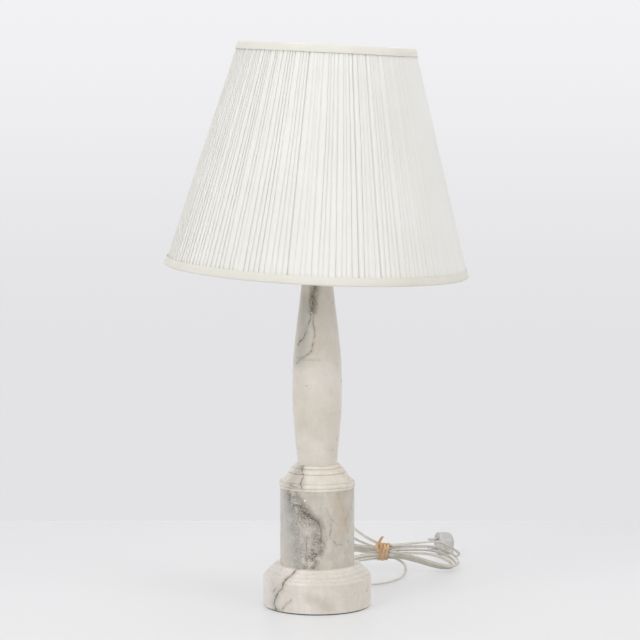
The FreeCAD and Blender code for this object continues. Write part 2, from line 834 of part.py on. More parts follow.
# ---------------------------------------------------------------------- harp
def make_harp():
    leg_foot = post_top()
    leg_top = leg_foot + harp_leg
    apex = collar_bottom + collar_height / 2.0
    belly = leg_top + 0.42 * (apex - leg_top)
    left = [V(-saddle_half_span, 0, leg_foot), V(-saddle_half_span, 0, leg_top),
            V(-harp_half_width, 0, belly), V(-harp_half_width * 0.42, 0, apex - 14.0)]
    points = left + [V(-collar_radius - 1.5, 0, apex), V(collar_radius + 1.5, 0, apex)]
    points += [V(-p.x, 0, p.z) for p in reversed(left)]
    flat = V(1, 0, 0)
    rising = V(0.8, 0, 0.6)
    falling = V(0.8, 0, -0.6)
    down = V(0, 0, -1)
    ways = [UP, UP, UP, rising, flat, flat, falling, down, down, down]
    node("harp", leaned(rod_along(smooth_path(points, ways), wire_radius)))
    stud = cylinder(stud_radius, collar_bottom + collar_height, hub_top + stud_above_hub)
    collar = cylinder(collar_radius, collar_bottom, collar_bottom + collar_height)
    tunnel = Part.makeCylinder(wire_radius + seat_gap, 4 * collar_radius,
                               V(-2 * collar_radius, 0, apex), V(1, 0, 0))
    node("harp_stud", leaned(collar.cut(tunnel).fuse(stud)))
    for side, name in ((-1, "harp_sleeve_left"), (1, "harp_sleeve_right")):
        low = holder_bottom + saddle_post_height
        sleeve = tube(sleeve_radius, wire_radius + running_gap, low, low + sleeve_length)
        for rim in (low, low + sleeve_length - 1.5):
            sleeve = sleeve.fuse(tube(sleeve_radius + 0.6, sleeve_radius - 0.5, rim, rim + 1.5))
        sleeve.translate(V(side * saddle_half_span, 0, 0))
        node(name, leaned(sleeve.removeSplitter()))


# --------------------------------------------------------------------- shade
def cone_radius(z, inset):
    """Radius of a layer of the shade, set in from the trim's outer face."""
    return shade_bottom_radius - (z - shade_bottom_z) * shade_slope - inset


def cone_layer(inset, thickness, bottom, top):
    steps = [
        (cone_radius(bottom, inset), bottom),
        (cone_radius(top, inset), top),
        (cone_radius(top, inset + thickness), top),
        (cone_radius(bottom, inset + thickness), bottom),
    ]
    return turned(steps)


def pleat_angles(at_top):
    """Fold lines round the shade: even at the bottom, bunched in groups at the top."""
    group_angle = 2.0 * math.pi / pleat_groups
    narrow = (1.0 - wide_pleat_share) / (pleats_in_group - 1)
    angles = []
    for group in range(pleat_groups):
        for pleat in range(pleats_in_group):
            if at_top and pleat > 0:
                share = wide_pleat_share + (pleat - 1) * narrow
            else:
                share = pleat / pleats_in_group
            angles.append((group + share) * group_angle)
    return angles


def pleated_points(z, depth, at_top):
    """Saw-toothed ring: each pleat rises to its fold and drops to the next one."""
    crest = cone_radius(z, trim_thickness + cloth_gap)
    valley = crest - depth
    angles = pleat_angles(at_top)
    points = []
    for index, angle in enumerate(angles):
        following = angles[index + 1] if index + 1 < len(angles) else angles[0] + 2.0 * math.pi
        low = angle + pleat_return_share * (following - angle)
        points.append(V(valley * math.cos(low), valley * math.sin(low), z))
        points.append(V(crest * math.cos(following), crest * math.sin(following), z))
    points.append(points[0])
    return points


def flat_sided(radius, z):
    """Level polygon of cover_inner_sides whose flats touch the circle of that radius."""
    half = math.pi / cover_inner_sides
    corner = radius / math.cos(half)
    points = [V(corner * math.cos(2 * side * half), corner * math.sin(2 * side * half), z)
              for side in range(cover_inner_sides)]
    return Part.makePolygon(points + points[:1])


def make_cover():
    """Pleats ruled from rim to rim, in rows so that no face is twisted much."""
    low = shade_bottom_z + trim_thickness + cloth_gap
    high = shade_top_z - trim_thickness - cloth_gap
    bottom = pleated_points(low, pleat_depth_bottom, False)
    top = pleated_points(high, pleat_depth_top, True)
    rings = []
    for row in range(cover_rows + 1):
        share = row / cover_rows
        rings.append(Part.makePolygon([start + (end - start) * share
                                       for start, end in zip(bottom, top)]))
    faces = [Part.Face(rings[0]), Part.Face(rings[-1])]
    for lower, upper in zip(rings, rings[1:]):
        faces += Part.makeRuledSurface(lower, upper).Faces
    shell = Part.makeShell(faces)
    shell.sewShape()
    solid = Part.makeSolid(Part.Shell(shell.Faces))
    if solid.Volume < 0:
        solid.reverse()
    inset = trim_thickness + cloth_gap + pleat_depth_bottom + cover_cloth
    flats = [flat_sided(cone_radius(z, inset), z) for z in (low, high)]
    cover = solid.cut(Part.makeLoft(flats, True, True))
    print("cover valid", cover.isValid(), "solids", len(cover.Solids), "volume %.0f" % cover.Volume)
    node("pleated_cover", leaned(cover))


def make_trim(name, at_top):
    """Folded tape: down the outside, under the ring and up the inside."""
    edge = shade_top_z if at_top else shade_bottom_z
    way = -1.0 if at_top else 1.0
    outside = edge + way * (top_trim_height if at_top else bottom_trim_height)
    inside = edge + way * trim_inner_height
    fold = edge + way * trim_thickness
    tape = trim_thickness
    inner_inset = ring_inset + ring_wire_radius + cloth_gap
    steps = [
        (cone_radius(edge, 0), edge),
        (cone_radius(outside, 0), outside),
        (cone_radius(outside, tape), outside),
        (cone_radius(fold, tape), fold),
        (cone_radius(fold, inner_inset), fold),
        (cone_radius(inside, inner_inset), inside),
        (cone_radius(inside, inner_inset + tape), inside),
        (cone_radius(edge, inner_inset + tape), edge),
    ]
    node(name, leaned(turned(steps)))


def make_shade_frame():
    low_radius = cone_radius(bottom_ring_z, ring_inset)
    top_radius = cone_radius(top_ring_z, ring_inset)
    node("bottom_ring", leaned(Part.makeTorus(low_radius, ring_wire_radius, V(0, 0, bottom_ring_z))))
    node("top_ring", leaned(Part.makeTorus(top_radius, ring_wire_radius, V(0, 0, top_ring_z))))
    ribs = []
    for index in range(rib_count):
        rib = rod_along(Part.Wire(Part.makeLine(V(low_radius, 0, bottom_ring_z),
                                                V(top_radius, 0, top_ring_z))), rib_wire_radius)
        rib.rotate(ORIGIN, UP, (index + 0.5) * 360.0 / rib_count)
        ribs.append(rib)
    node("shade_ribs", leaned(Part.makeCompound(ribs)))
    make_spider(top_radius)


def make_spider(top_radius):
    """Three arms drop inside the top ring and run in to the hub."""
    level = hub_top - hub_thickness / 2.0
    down = V(shade_slope, 0, -1.0).normalize()
    start = V(top_radius, 0, top_ring_z)
    drop = (top_ring_z - level - spider_bend_radius) / -down.z
    bend_start = start + down * drop
    bend_end = V(bend_start.x - spider_bend_radius, 0, level)
    inward = V(-1, 0, 0)
    edges = [Part.makeLine(start, bend_start)]
    edges += biarc(bend_start, down, bend_end, inward)
    edges.append(Part.makeLine(bend_end, V(hub_radius - 2.0, 0, level)))
    arm = rod_along(Part.Wire(edges), wire_radius)
    spider = cylinder(hub_radius, hub_bottom, hub_top)
    for index in range(spider_arms):
        copy = arm.copy()
        copy.rotate(ORIGIN, UP, 30.0 + index * 360.0 / spider_arms)
        spider = spider.fuse(copy)
    spider = spider.cut(cylinder(stud_radius + running_gap, hub_bottom - 1.0, hub_top + 1.0))
    node("spider", leaned(spider))


def make_shade():
    make_cover()
    lining_inset = ring_inset - ring_wire_radius - cloth_gap - lining_thickness
    low = shade_bottom_z + trim_thickness + cloth_gap
    high = shade_top_z - trim_thickness - cloth_gap
    node("shade_lining", leaned(cone_layer(lining_inset, lining_thickness, low, high)))
    make_trim("bottom_trim", False)
    make_trim("top_trim", True)
    make_shade_frame()


def make_finial():
    foot = hub_top + loose_gap
    flange = stud_radius + 3.0
    waist = stud_radius + 1.6
    centre = foot + finial_height - finial_radius
    eighth = finial_radius * math.cos(math.pi / 4.0)
    steps = [
        (0, foot),
        (flange, foot),
        (flange, foot + 2.0),
        bulge((flange, foot + 2.0), (waist, foot + 5.0), -0.6),
        bulge((waist, foot + 5.0), (finial_radius, centre), 0.7),
        ((eighth, centre + eighth), (0, foot + finial_height)),
    ]
    blind_hole = cylinder(stud_radius + running_gap, foot, hub_top + stud_above_hub + loose_gap)
    node("finial", leaned(turned(steps).cut(blind_hole)))


# ------------------------------------------------------------ flex and plug
def hank_point(turns):
    """A point of the tied hank, counted in turns from the front of its waist."""
    angle = 2.0 * math.pi * turns
    along = math.sin(angle)
    lobe = along * along
    lift = 0.0
    if along <= 0:
        reach = right_reach + right_reach_growth * turns
        swell = right_swell + right_swell_growth * turns
        tilt, fan, drop = right_tilt, right_fan, right_drop
    elif turns > 3.0:
        # the last loop has slipped: it is shorter and stands up above the others
        reach, swell = stray_reach, stray_swell
        tilt, fan, drop = left_tilt, left_fan, left_drop
        lift = stray_rise * (1.0 - abs(math.cos(angle)) ** 5)
    else:
        reach = left_reach - left_reach_change * math.sin(2.3 * turns)
        swell = left_swell
        tilt, fan, drop = left_tilt, left_fan, left_drop
    across = -math.cos(angle) * (waist_half + swell * lobe)
    layer = (turns - hank_turns / 2.0) * waist_pitch * (1.0 + fan * lobe)
    slant = math.radians(waist_tilt + (tilt - waist_tilt) * lobe)
    return V(hank_centre_x - reach * along,
             hank_centre_y + across * math.cos(slant) - layer * math.sin(slant),
             waist_height - drop * lobe + lift
             + across * math.sin(slant) + layer * math.cos(slant))


def hank_way(turns):
    step = 1e-4
    return (hank_point(turns + step) - hank_point(turns - step)).normalize()


def hank_places():
    """Ends of the arcs: sixteen to a turn, with one at each waist crossing."""
    steps = int(round(hank_turns * 16.0))
    places = [index / 16.0 for index in range(steps)]
    return places + [hank_turns]


def make_hank():
    places = hank_places()
    points = [hank_point(place) for place in places]
    ways = [hank_way(place) for place in places]
    path = smooth_path(points, ways)
    first = points[0] - ways[0] * flex_diameter
    last = points[-1] + ways[-1] * flex_diameter
    edges = [Part.makeLine(first, points[0])] + path.OrderedEdges
    edges.append(Part.makeLine(points[-1], last))
    whole = Part.Wire(edges)
    print_hank_facts(whole)
    node("cord_hank", flex_tube(whole, "cord_hank"))
    return first, ways[0], last, ways[-1]


def print_hank_facts(path):
    radii = [edge.Curve.Radius for edge in path.OrderedEdges if hasattr(edge.Curve, "Radius")]
    samples = path.discretize(Distance=2.0)
    apart = int(4 * flex_diameter / 2.0)
    least = 1e9
    for index, point in enumerate(samples):
        for other in samples[index + apart:]:
            least = min(least, point.distanceToPoint(other))
    print("hank least radius %.1f" % min(radii), "least gap %.2f" % (least - flex_diameter))


def plug_place():
    return V(plug_x, plug_y, plug_radius)


def plug_way():
    """The way the pins point, level with the surface."""
    angle = math.radians(plug_azimuth)
    return V(math.cos(angle), math.sin(angle), 0)


def relief_way():
    """The way the flex leaves the plug's rim, square to the pins and a little down."""
    dip = math.radians(relief_dip)
    level = V(-plug_way().y, plug_way().x, 0)
    return level * math.cos(dip) - UP * math.sin(dip)


def run_route(hank_start, hank_start_way):
    """From the grommet along the surface and up into the hank's waist."""
    return [
        V(0, cord_exit_y(), exit_height),
        V(0, 113, exit_height),
        V(9, 134, 7.6),
        V(28, 147, 3.6),
        V(54, 151, 2.7),
        V(82, 149, 2.7),
        V(107, 155, 2.7),
        V(126, 172, 2.7),
        V(140, 194, 2.7),
        V(150, 215, 3.4),
        V(155.5, 236, 5.6),
        V(157.5, 256, 8.7),
        V(157, 274, 12.4),
        V(154, 290, 13.6),
        V(147.8, 300.8, 16.6),
        hank_start - hank_start_way * 13.0,
        hank_start,
    ]


def tail_route(hank_end, hank_end_way):
    """From the back of the hank's right lobe round to the plug's strain relief."""
    boot = plug_place() + relief_way() * (plug_radius - relief_seat + relief_length)
    return [
        hank_end,
        hank_end + hank_end_way * 17.0,
        V(245, 342, 31.0),
        V(257, 354, 21.5),
        V(261, 371, 12.5),
        boot + relief_way() * 17.0,
        boot,
    ]


def make_cord():
    start, start_way, end, end_way = make_hank()
    least = 3.0 * flex_diameter
    run = fillet_path(run_route(start, start_way), least, "cord_run")
    node("cord_run", flex_tube(run, "cord_run"))
    tail = fillet_path(tail_route(end, end_way), least, "cord_tail")
    node("cord_tail", flex_tube(tail, "cord_tail"))
    make_tie()


def rounded_block(half_wide, half_tall, length):
    box = Part.makeBox(length, 2 * half_wide, 2 * half_tall,
                       V(-length / 2.0, -half_wide, -half_tall))
    long_edges = [edge for edge in box.Edges if abs(edge.tangentAt(0).x) > 0.9]
    return box.makeFillet(min(half_wide, half_tall) * 0.5, long_edges)


def make_tie():
    """Flat band round the waist, with its knot and two short ends."""
    half_tall = hank_turns * waist_pitch / 2.0 + flex_radius + 3.0 * loose_gap
    half_wide = waist_half + flex_radius + 6.0 * loose_gap
    band = rounded_block(half_wide + tie_thickness, half_tall + tie_thickness, tie_width)
    band = band.cut(rounded_block(half_wide, half_tall, tie_width + 2.0))
    knot = Part.makeSphere(4.5, V(-2.0, -1.0, half_tall + tie_thickness + 2.6))
    tail = Part.makeBox(2.0, 4.2, 19.0, V(-1.0, -2.1, 0))
    tail.rotate(ORIGIN, V(0, 1, 0), 18)
    tail.translate(V(-1.5, -0.6, half_tall + tie_thickness + 3.0))
    band = band.fuse(knot).fuse(tail)
    band.rotate(ORIGIN, V(1, 0, 0), waist_tilt)
    band.translate(V(hank_centre_x, hank_centre_y, waist_height))
    node("hank_tie", band)


def make_plug():
    half = plug_length / 2.0
    r = plug_radius
    steps = [
        (0, -half),
        (6.0, -half),
        bulge((6.0, -half), (r - 0.6, 1.0), 5.5),
        (r, 2.5),
        (r, half - 1.0),
        (r - 1.0, half),
        (0, half),
    ]
    body = turned(steps)
    pins = []
    for side in (-1, 1):
        socket = cylinder(pin_radius + seat_gap, half - 9.0, half)
        socket.translate(V(side * pin_spacing / 2.0, 0, 0))
        body = body.cut(socket)
        pin = cylinder(pin_radius, half - 9.0, half + pin_length - pin_radius)
        pin = pin.fuse(Part.makeSphere(pin_radius, V(0, 0, half + pin_length - pin_radius)))
        pin.translate(V(side * pin_spacing / 2.0, 0, 0))
        pins.append(pin)
    body = aimed(body, plug_place(), plug_way())
    relief = aimed(relief_boot(), plug_place(), relief_way())
    seat = cylinder(relief_radius() + seat_gap, r - relief_seat - seat_gap, 2.0 * r)
    node("plug_body", body.cut(aimed(seat, plug_place(), relief_way())))
    node("plug_pins", aimed(Part.makeCompound(pins), plug_place(), plug_way()))
    node("plug_relief", relief)


def relief_radius():
    return flex_radius + 2.6


def relief_boot():
    """Tapered boot with cut rings, over the flex where it enters the plug's rim."""
    seat = plug_radius - relief_seat
    boot = cylinder(relief_radius(), seat, seat + relief_seat)
    boot = boot.fuse(Part.makeCone(relief_radius(), flex_radius + 0.8,
                                   relief_length - relief_seat, V(0, 0, seat + relief_seat)))
    ring_pitch = (relief_length - relief_seat) / 5.0
    for index in range(4):
        z = seat + relief_seat + (index + 0.7) * ring_pitch
        boot = boot.cut(tube(2.0 * relief_radius(), flex_radius + 0.6, z, z + 0.4 * ring_pitch))
    return boot


def main():
    make_stem()
    make_rod()
    make_grommet_and_inner_flex()
    make_knuckle()
    make_holder()
    make_bulb()
    make_harp()
    make_shade()
    make_finial()
    make_cord()
    make_plug()
    os.makedirs("parts", exist_ok=True)
    for name, shape in NODES.items():
        shape.exportStep("parts/%s.step" % name)
        if not shape.isValid():
            print("not valid", name)
    print(len(NODES), "nodes")


main()
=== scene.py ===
"""Looks of a column table lamp: marble stem, brass fittings, pleated shade and tied flex."""
import json
import math
import random
import bpy
from mathutils import Matrix, Vector


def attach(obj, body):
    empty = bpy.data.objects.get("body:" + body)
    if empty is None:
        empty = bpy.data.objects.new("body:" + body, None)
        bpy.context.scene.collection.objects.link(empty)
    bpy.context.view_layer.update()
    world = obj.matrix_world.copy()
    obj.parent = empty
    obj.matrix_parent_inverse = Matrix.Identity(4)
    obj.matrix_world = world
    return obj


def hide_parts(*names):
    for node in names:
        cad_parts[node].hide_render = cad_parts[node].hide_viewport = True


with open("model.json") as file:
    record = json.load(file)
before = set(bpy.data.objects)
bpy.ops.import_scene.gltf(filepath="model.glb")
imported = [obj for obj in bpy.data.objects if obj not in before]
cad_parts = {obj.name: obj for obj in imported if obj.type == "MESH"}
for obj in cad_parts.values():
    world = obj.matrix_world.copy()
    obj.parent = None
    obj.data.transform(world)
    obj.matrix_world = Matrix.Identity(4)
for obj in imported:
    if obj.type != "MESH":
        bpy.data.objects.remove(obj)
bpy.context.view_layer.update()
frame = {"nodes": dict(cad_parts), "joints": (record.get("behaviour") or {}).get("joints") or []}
nodes = frame["nodes"]
joints = {joint["name"]: joint for joint in frame["joints"]}

# ---- sizes, in metres
MM = 0.001

# camera, fitted to the rims of the base, drum and shade in the photograph
camera_place = Vector((0.00455, -3.45406, 0.73532))
camera_pitch = math.radians(4.33)
camera_lens = 118.47
sensor_width = 36.0

# the head leans about the knuckle
pivot = Vector(joints["head_tilt"]["pos_m"])
head_way = Vector(joints["shade_turn"]["axis"])
hinge_azimuth = math.radians(45.0)

# shade
shade_bottom_z = 0.5565
shade_height = 0.3665
shade_bottom_radius = 0.250
shade_top_radius = 0.145
pleat_groups = 42
pleats_in_group = 4
wide_pleat_share = 0.37
pleat_depth_bottom = 2.6 * MM
pleat_depth_top = 2.2 * MM
crest_inset = 1.25 * MM
bunching = 1.7
group_end_depth, pleat_depth = 1.35, 0.80
cloth_rim_gap = 1.4 * MM
cloth_thickness = 0.35 * MM
tape_cloth_thickness = 0.6 * MM
bottom_tape_height = 14.0 * MM
top_tape_height = 12.7 * MM
tape_inner_height = 9.0 * MM
ring_inset = 8.0 * MM
seam_azimuth = math.radians(-38.0)

# flex, hank and plug
flex_width = 5.0 * MM
flex_exit = Vector((0.0, 0.0933, 0.011))
hank_turns = 3.6
hank_centre = Vector((0.120, 0.304, 0.0315))
waist_half = 3.4 * MM
waist_pitch = 6.0 * MM
waist_tilt = math.radians(30.0)
hank_steps = 16
left_reach, left_reach_change, left_swell = 0.122, 0.005, 0.062
left_tilt, left_fan, left_drop = math.radians(40.0), 0.55, 0.002
right_reach, right_reach_growth = 0.122, 0.0056
right_swell, right_swell_growth = 0.052, 0.015
right_tilt, right_fan, right_drop = math.radians(7.0), -0.35, 0.022
stray_from, stray_reach, stray_swell, stray_rise = 3.0, 0.104, 0.040, 0.050
plug_centre = Vector((0.239, 0.446, 0.021))
plug_azimuth = math.radians(195.0)
plug_radius = 21.0 * MM
plug_half_length = 15.5 * MM
relief_dip = math.radians(15.0)
relief_seat = 4.0 * MM
relief_length = 26.0 * MM


# ---- camera
def make_camera():
    bpy.ops.object.camera_add(location=camera_place,
                              rotation=(math.radians(90.0) - camera_pitch, 0, 0))
    camera = bpy.context.object
    camera.data.lens = camera_lens
    camera.data.sensor_width = sensor_width
    camera.data.clip_end = 50.0
    bpy.context.scene.camera = camera


# ---- modelling helpers
def nothing_selected():
    bpy.ops.object.select_all(action="DESELECT")


def only(piece):
    nothing_selected()
    piece.select_set(True)
    bpy.context.view_layer.objects.active = piece


def open_mesh(piece, pick="SELECT"):
    """Starts editing a piece's mesh, with all of it picked or none."""
    only(piece)
    bpy.ops.object.mode_set(mode="EDIT")
    bpy.ops.mesh.select_all(action=pick)


def close_mesh():
    bpy.ops.object.mode_set(mode="OBJECT")


def new_mesh_piece(name, points, faces):
    mesh = bpy.data.meshes.new(name)
    mesh.from_pydata([tuple(point) for point in points], [], faces)
    mesh.update()
    piece = bpy.data.objects.new(name, mesh)
    bpy.context.scene.collection.objects.link(piece)
    return piece


def put_modifier(piece, kind, **settings):
    """Adds one modifier, sets it up and applies it."""
    only(piece)
    bpy.ops.object.modifier_add(type=kind)
    modifier = piece.modifiers[-1]
    for name, value in settings.items():
        setattr(modifier, name, value)
    bpy.ops.object.modifier_apply(modifier=modifier.name)


def face_outwards(piece):
    open_mesh(piece)
    bpy.ops.mesh.remove_doubles(threshold=1e-6)
    bpy.ops.mesh.normals_make_consistent(inside=False)
    close_mesh()


def smooth(piece, angle=40.0):
    only(piece)
    bpy.ops.object.shade_smooth_by_angle(angle=math.radians(angle))


def placed(piece, matrix):
    """Puts the place into the mesh, so that the object stays at the origin."""
    piece.data.transform(matrix)
    piece.data.update()


def head_matrix():
    lean = Vector((0, 0, 1)).rotation_difference(head_way).to_matrix().to_4x4()
    about = Matrix.Translation(pivot) @ lean @ Matrix.Translation(-pivot)
    return about @ Matrix.Rotation(hinge_azimuth, 4, "Z")


def lathe(name, rings, segments):
    """Turned piece: a disc, then one extrusion for each ring's radius and height."""
    radius, height = rings[0]
    nothing_selected()
    bpy.ops.mesh.primitive_circle_add(vertices=segments, radius=radius, fill_type="NGON",
                                      location=(0, 0, height))
    piece = bpy.context.object
    piece.name = name
    piece.data.name = name
    bpy.ops.object.transform_apply(location=True, rotation=True, scale=True)
    open_mesh(piece)
    for new_radius, new_height in rings[1:]:
        bpy.ops.mesh.extrude_region_move(
            TRANSFORM_OT_translate={"value": (0, 0, new_height - height)})
        ratio = new_radius / radius
        bpy.ops.transform.resize(value=(ratio, ratio, 1), center_override=(0, 0, new_height))
        radius, height = new_radius, new_height
    close_mesh()
    face_outwards(piece)
    return piece


def soften_edges(piece, width):
    put_modifier(piece, "BEVEL", width=width, segments=2, limit_method="ANGLE",
                 angle_limit=math.radians(35.0))
    smooth(piece, 40.0)


def tube_faces(rings, width):
    """Faces of a tube made of rings of points, with both of its ends closed."""
    faces = [tuple(range(width))]
    for ring in range(rings - 1):
        for place in range(width):
            first = ring * width + place
            second = ring * width + (place + 1) % width
            faces.append((first, second, second + width, first + width))
    last = (rings - 1) * width
    faces.append(tuple(last + place for place in reversed(range(width))))
    return faces


# ---- node kit
def wire(tree, kind, inputs=None, **settings):
    """Adds a node, sets it up, and joins or fills its inputs."""
    node = tree.nodes.new("ShaderNode" + kind)
    for name, value in settings.items():
        setattr(node, name, value)
    for key, value in (inputs or {}).items():
        if isinstance(value, bpy.types.NodeSocket):
            tree.links.new(value, node.inputs[key])
        else:
            node.inputs[key].default_value = value
    return node


def calc(tree, operation, *values, clamp=False):
    node = wire(tree, "Math", dict(enumerate(values)), operation=operation, use_clamp=clamp)
    return node.outputs[0]


def times(tree, first, second):
    return calc(tree, "MULTIPLY", first, second)


def vector_calc(tree, operation, *values):
    node = wire(tree, "VectorMath", dict(enumerate(values)), operation=operation)
    return node.outputs["Value" if operation in ("DOT_PRODUCT", "LENGTH") else "Vector"]


def scaled(tree, vector, factor):
    node = wire(tree, "VectorMath", {0: vector, 3: factor}, operation="SCALE")
    return node.outputs["Vector"]


def blend_colour(tree, factor, first, second):
    return wire(tree, "Mix", {0: factor, 6: first, 7: second}, data_type="RGBA").outputs[2]


def remap(tree, value, low, high, to_low=0.0, to_high=1.0):
    node = wire(tree, "MapRange", {0: value, 1: low, 2: high, 3: to_low, 4: to_high},
                interpolation_type="SMOOTHSTEP")
    return node.outputs[0]


def noise(tree, where, scale, detail=3.0, rough=0.5):
    return wire(tree, "TexNoise", {"Vector": where, "Scale": scale, "Detail": detail,
                                   "Roughness": rough}).outputs


FLOAT, VECTOR, COLOUR = "NodeSocketFloat", "NodeSocketVector", "NodeSocketColor"


def effect(name, outputs, **inputs):
    """An empty node group.  Each input is a kind of socket, or a number's usual value."""
    tree = bpy.data.node_groups.new(name, "ShaderNodeTree")
    for label, value in inputs.items():
        kind = value if isinstance(value, str) else FLOAT
        socket = tree.interface.new_socket(name=label, in_out="INPUT", socket_type=kind)
        if kind == FLOAT:
            socket.default_value = value
    for label, kind in outputs.items():
        tree.interface.new_socket(name=label, in_out="OUTPUT", socket_type=kind)
    return tree, tree.nodes.new("NodeGroupInput").outputs, tree.nodes.new("NodeGroupOutput")


def hand_over(tree, result, **sockets):
    for label, socket in sockets.items():
        tree.links.new(socket, result.inputs[label])
    return tree


def use(tree, group, **inputs):
    return wire(tree, "Group", inputs, node_tree=group).outputs


# ---- shared effects
def make_wander():
    """Shifts a position by noise, so that lines and patches wander."""
    tree, given, result = effect("wander", {"Position": VECTOR}, Position=VECTOR, Scale=40.0,
                                 Amount=0.004)
    drift = noise(tree, given["Position"], given["Scale"], detail=4.0, rough=0.6)
    centred = vector_calc(tree, "SUBTRACT", drift["Color"], (0.5, 0.5, 0.5))
    shift = scaled(tree, centred, given["Amount"])
    moved = vector_calc(tree, "ADD", given["Position"], shift)
    return hand_over(tree, result, Position=moved)


def make_crack_step():
    """One straight step of a vein: 1 on the line between two points, 0 past its width."""
    tree, given, result = effect("crack_step", {"Mask": FLOAT}, Position=VECTOR, From=VECTOR,
                                 To=VECTOR, Width=0.001)
    span = vector_calc(tree, "SUBTRACT", given["To"], given["From"])
    reach = vector_calc(tree, "SUBTRACT", given["Position"], given["From"])
    along = vector_calc(tree, "DOT_PRODUCT", reach, span)
    whole = vector_calc(tree, "DOT_PRODUCT", span, span)
    share = calc(tree, "DIVIDE", along, whole, clamp=True)
    apart = vector_calc(tree, "SUBTRACT", reach, scaled(tree, span, share))
    distance = vector_calc(tree, "LENGTH", apart)
    return hand_over(tree, result, Mask=remap(tree, distance, given["Width"], 0.0))


def make_crackle():
    """Net of fine dark lines between rounded cells."""
    tree, given, result = effect("crackle", {"Mask": FLOAT}, Position=VECTOR, Scale=150.0,
                                 Width=0.1)
    cells = wire(tree, "TexVoronoi", {"Vector": given["Position"], "Scale": given["Scale"]},
                 feature="DISTANCE_TO_EDGE")
    mask = remap(tree, cells.outputs["Distance"], given["Width"], 0.0)
    return hand_over(tree, result, Mask=mask)


def make_cloud():
    """Soft patches of two colours."""
    tree, given, result = effect("cloud", {"Color": COLOUR, "Mask": FLOAT}, Position=VECTOR,
                                 Scale=12.0, Low=0.35, High=0.65, First=COLOUR, Second=COLOUR)
    field = noise(tree, given["Position"], given["Scale"], detail=5.0, rough=0.55)
    mask = remap(tree, field["Fac"], given["Low"], given["High"])
    colour = blend_colour(tree, mask, given["First"], given["Second"])
    return hand_over(tree, result, Color=colour, Mask=mask)


def make_finish():
    """Fine unevenness of a surface: its roughness and its height."""
    tree, given, result = effect("finish", {"Roughness": FLOAT, "Height": FLOAT},
                                 Position=VECTOR, Scale=60.0, Roughness=0.3, Spread=0.1,
                                 Grain=900.0)
    broad = noise(tree, given["Position"], given["Scale"], detail=4.0, rough=0.6)["Fac"]
    spread = times(tree, calc(tree, "SUBTRACT", broad, 0.5), given["Spread"])
    roughness = calc(tree, "ADD", given["Roughness"], spread, clamp=True)
    fine = noise(tree, given["Position"], given["Grain"], detail=2.0)["Fac"]
    height = calc(tree, "ADD", times(tree, fine, 0.4), broad)
    return hand_over(tree, result, Roughness=roughness, Height=height)


def make_weave():
    """Plain weave on a piece's UV map, which is in metres: height and a shade of colour."""
    tree, given, result = effect("weave", {"Height": FLOAT, "Shade": FLOAT}, UV=VECTOR,
                                 Threads=2200.0, Slub=0.5)
    split = wire(tree, "SeparateXYZ", {0: given["UV"]})
    turns = times(tree, given["Threads"], 2.0 * math.pi)
    across = calc(tree, "SINE", times(tree, split.outputs["X"], turns))
    down = calc(tree, "SINE", times(tree, split.outputs["Y"], turns))
    threads = calc(tree, "MAXIMUM", across, down)
    stretched = vector_calc(tree, "MULTIPLY", given["UV"], (900.0, 45.0, 1.0))
    slubs = noise(tree, stretched, 1.0, detail=2.0)["Fac"]
    height = calc(tree, "ADD", times(tree, threads, 0.5), times(tree, slubs, given["Slub"]))
    shade = calc(tree, "ADD", 0.965, times(tree, slubs, 0.06))
    return hand_over(tree, result, Height=height, Shade=shade)


def make_wrap():
    """Puts a position on one radius about the lamp's axis, so that a vein crosses steps."""
    tree, given, result = effect("wrap", {"Position": VECTOR}, Position=VECTOR, Radius=0.05)
    flat = vector_calc(tree, "MULTIPLY", given["Position"], (1, 1, 0))
    upright = vector_calc(tree, "MULTIPLY", given["Position"], (0, 0, 1))
    round_axis = scaled(tree, vector_calc(tree, "NORMALIZE", flat), given["Radius"])
    return hand_over(tree, result, Position=vector_calc(tree, "ADD", round_axis, upright))


def make_speckle():
    """Mottles a stone's colour: patches, thin upright streaks and a fine grain."""
    tree, given, result = effect("speckle", {"Color": COLOUR}, Position=VECTOR, Color=COLOUR,
                                 Strength=0.5)
    patches = noise(tree, given["Position"], 48.0, detail=6.0, rough=0.62)["Fac"]
    long_way = vector_calc(tree, "MULTIPLY", given["Position"], (190.0, 190.0, 30.0))
    streaks = noise(tree, long_way, 1.0, detail=3.0)["Fac"]
    grain = noise(tree, given["Position"], 620.0, detail=2.0)["Fac"]
    mixed = calc(tree, "ADD", times(tree, patches, 0.50), times(tree, streaks, 0.30))
    mixed = calc(tree, "ADD", mixed, times(tree, grain, 0.20))
    swing = times(tree, calc(tree, "SUBTRACT", mixed, 0.5), given["Strength"])
    paler = wire(tree, "HueSaturation", {"Value": calc(tree, "ADD", 1.0, swing),
                                         "Color": given["Color"]})
    return hand_over(tree, result, Color=paler.outputs["Color"])


wander = make_wander()
wrap = make_wrap()
speckle = make_speckle()
crack_step = make_crack_step()
crackle = make_crackle()
cloud = make_cloud()
finish = make_finish()
weave = make_weave()


# ---- materials
def srgb(red, green, blue):
    """A colour given as on a screen, 0 to 255, in the renderer's linear values."""
    linear = [((value / 255.0 + 0.055) / 1.055) ** 2.4 for value in (red, green, blue)]
    return (*linear, 1.0)


def new_material(name):
    made = bpy.data.materials.new(name)
    made.use_nodes = True
    tree = made.node_tree
    shader = tree.nodes["Principled BSDF"]
    where = wire(tree, "TexCoord").outputs
    return made, tree, shader, where


def give(tree, shader, **values):
    for name, value in values.items():
        socket = shader.inputs[name.replace("_", " ")]
        if isinstance(value, bpy.types.NodeSocket):
            tree.links.new(value, socket)
        else:
            socket.default_value = value


def bumped(tree, height, distance):
    return wire(tree, "Bump", {"Height": height, "Distance": distance}).outputs["Normal"]


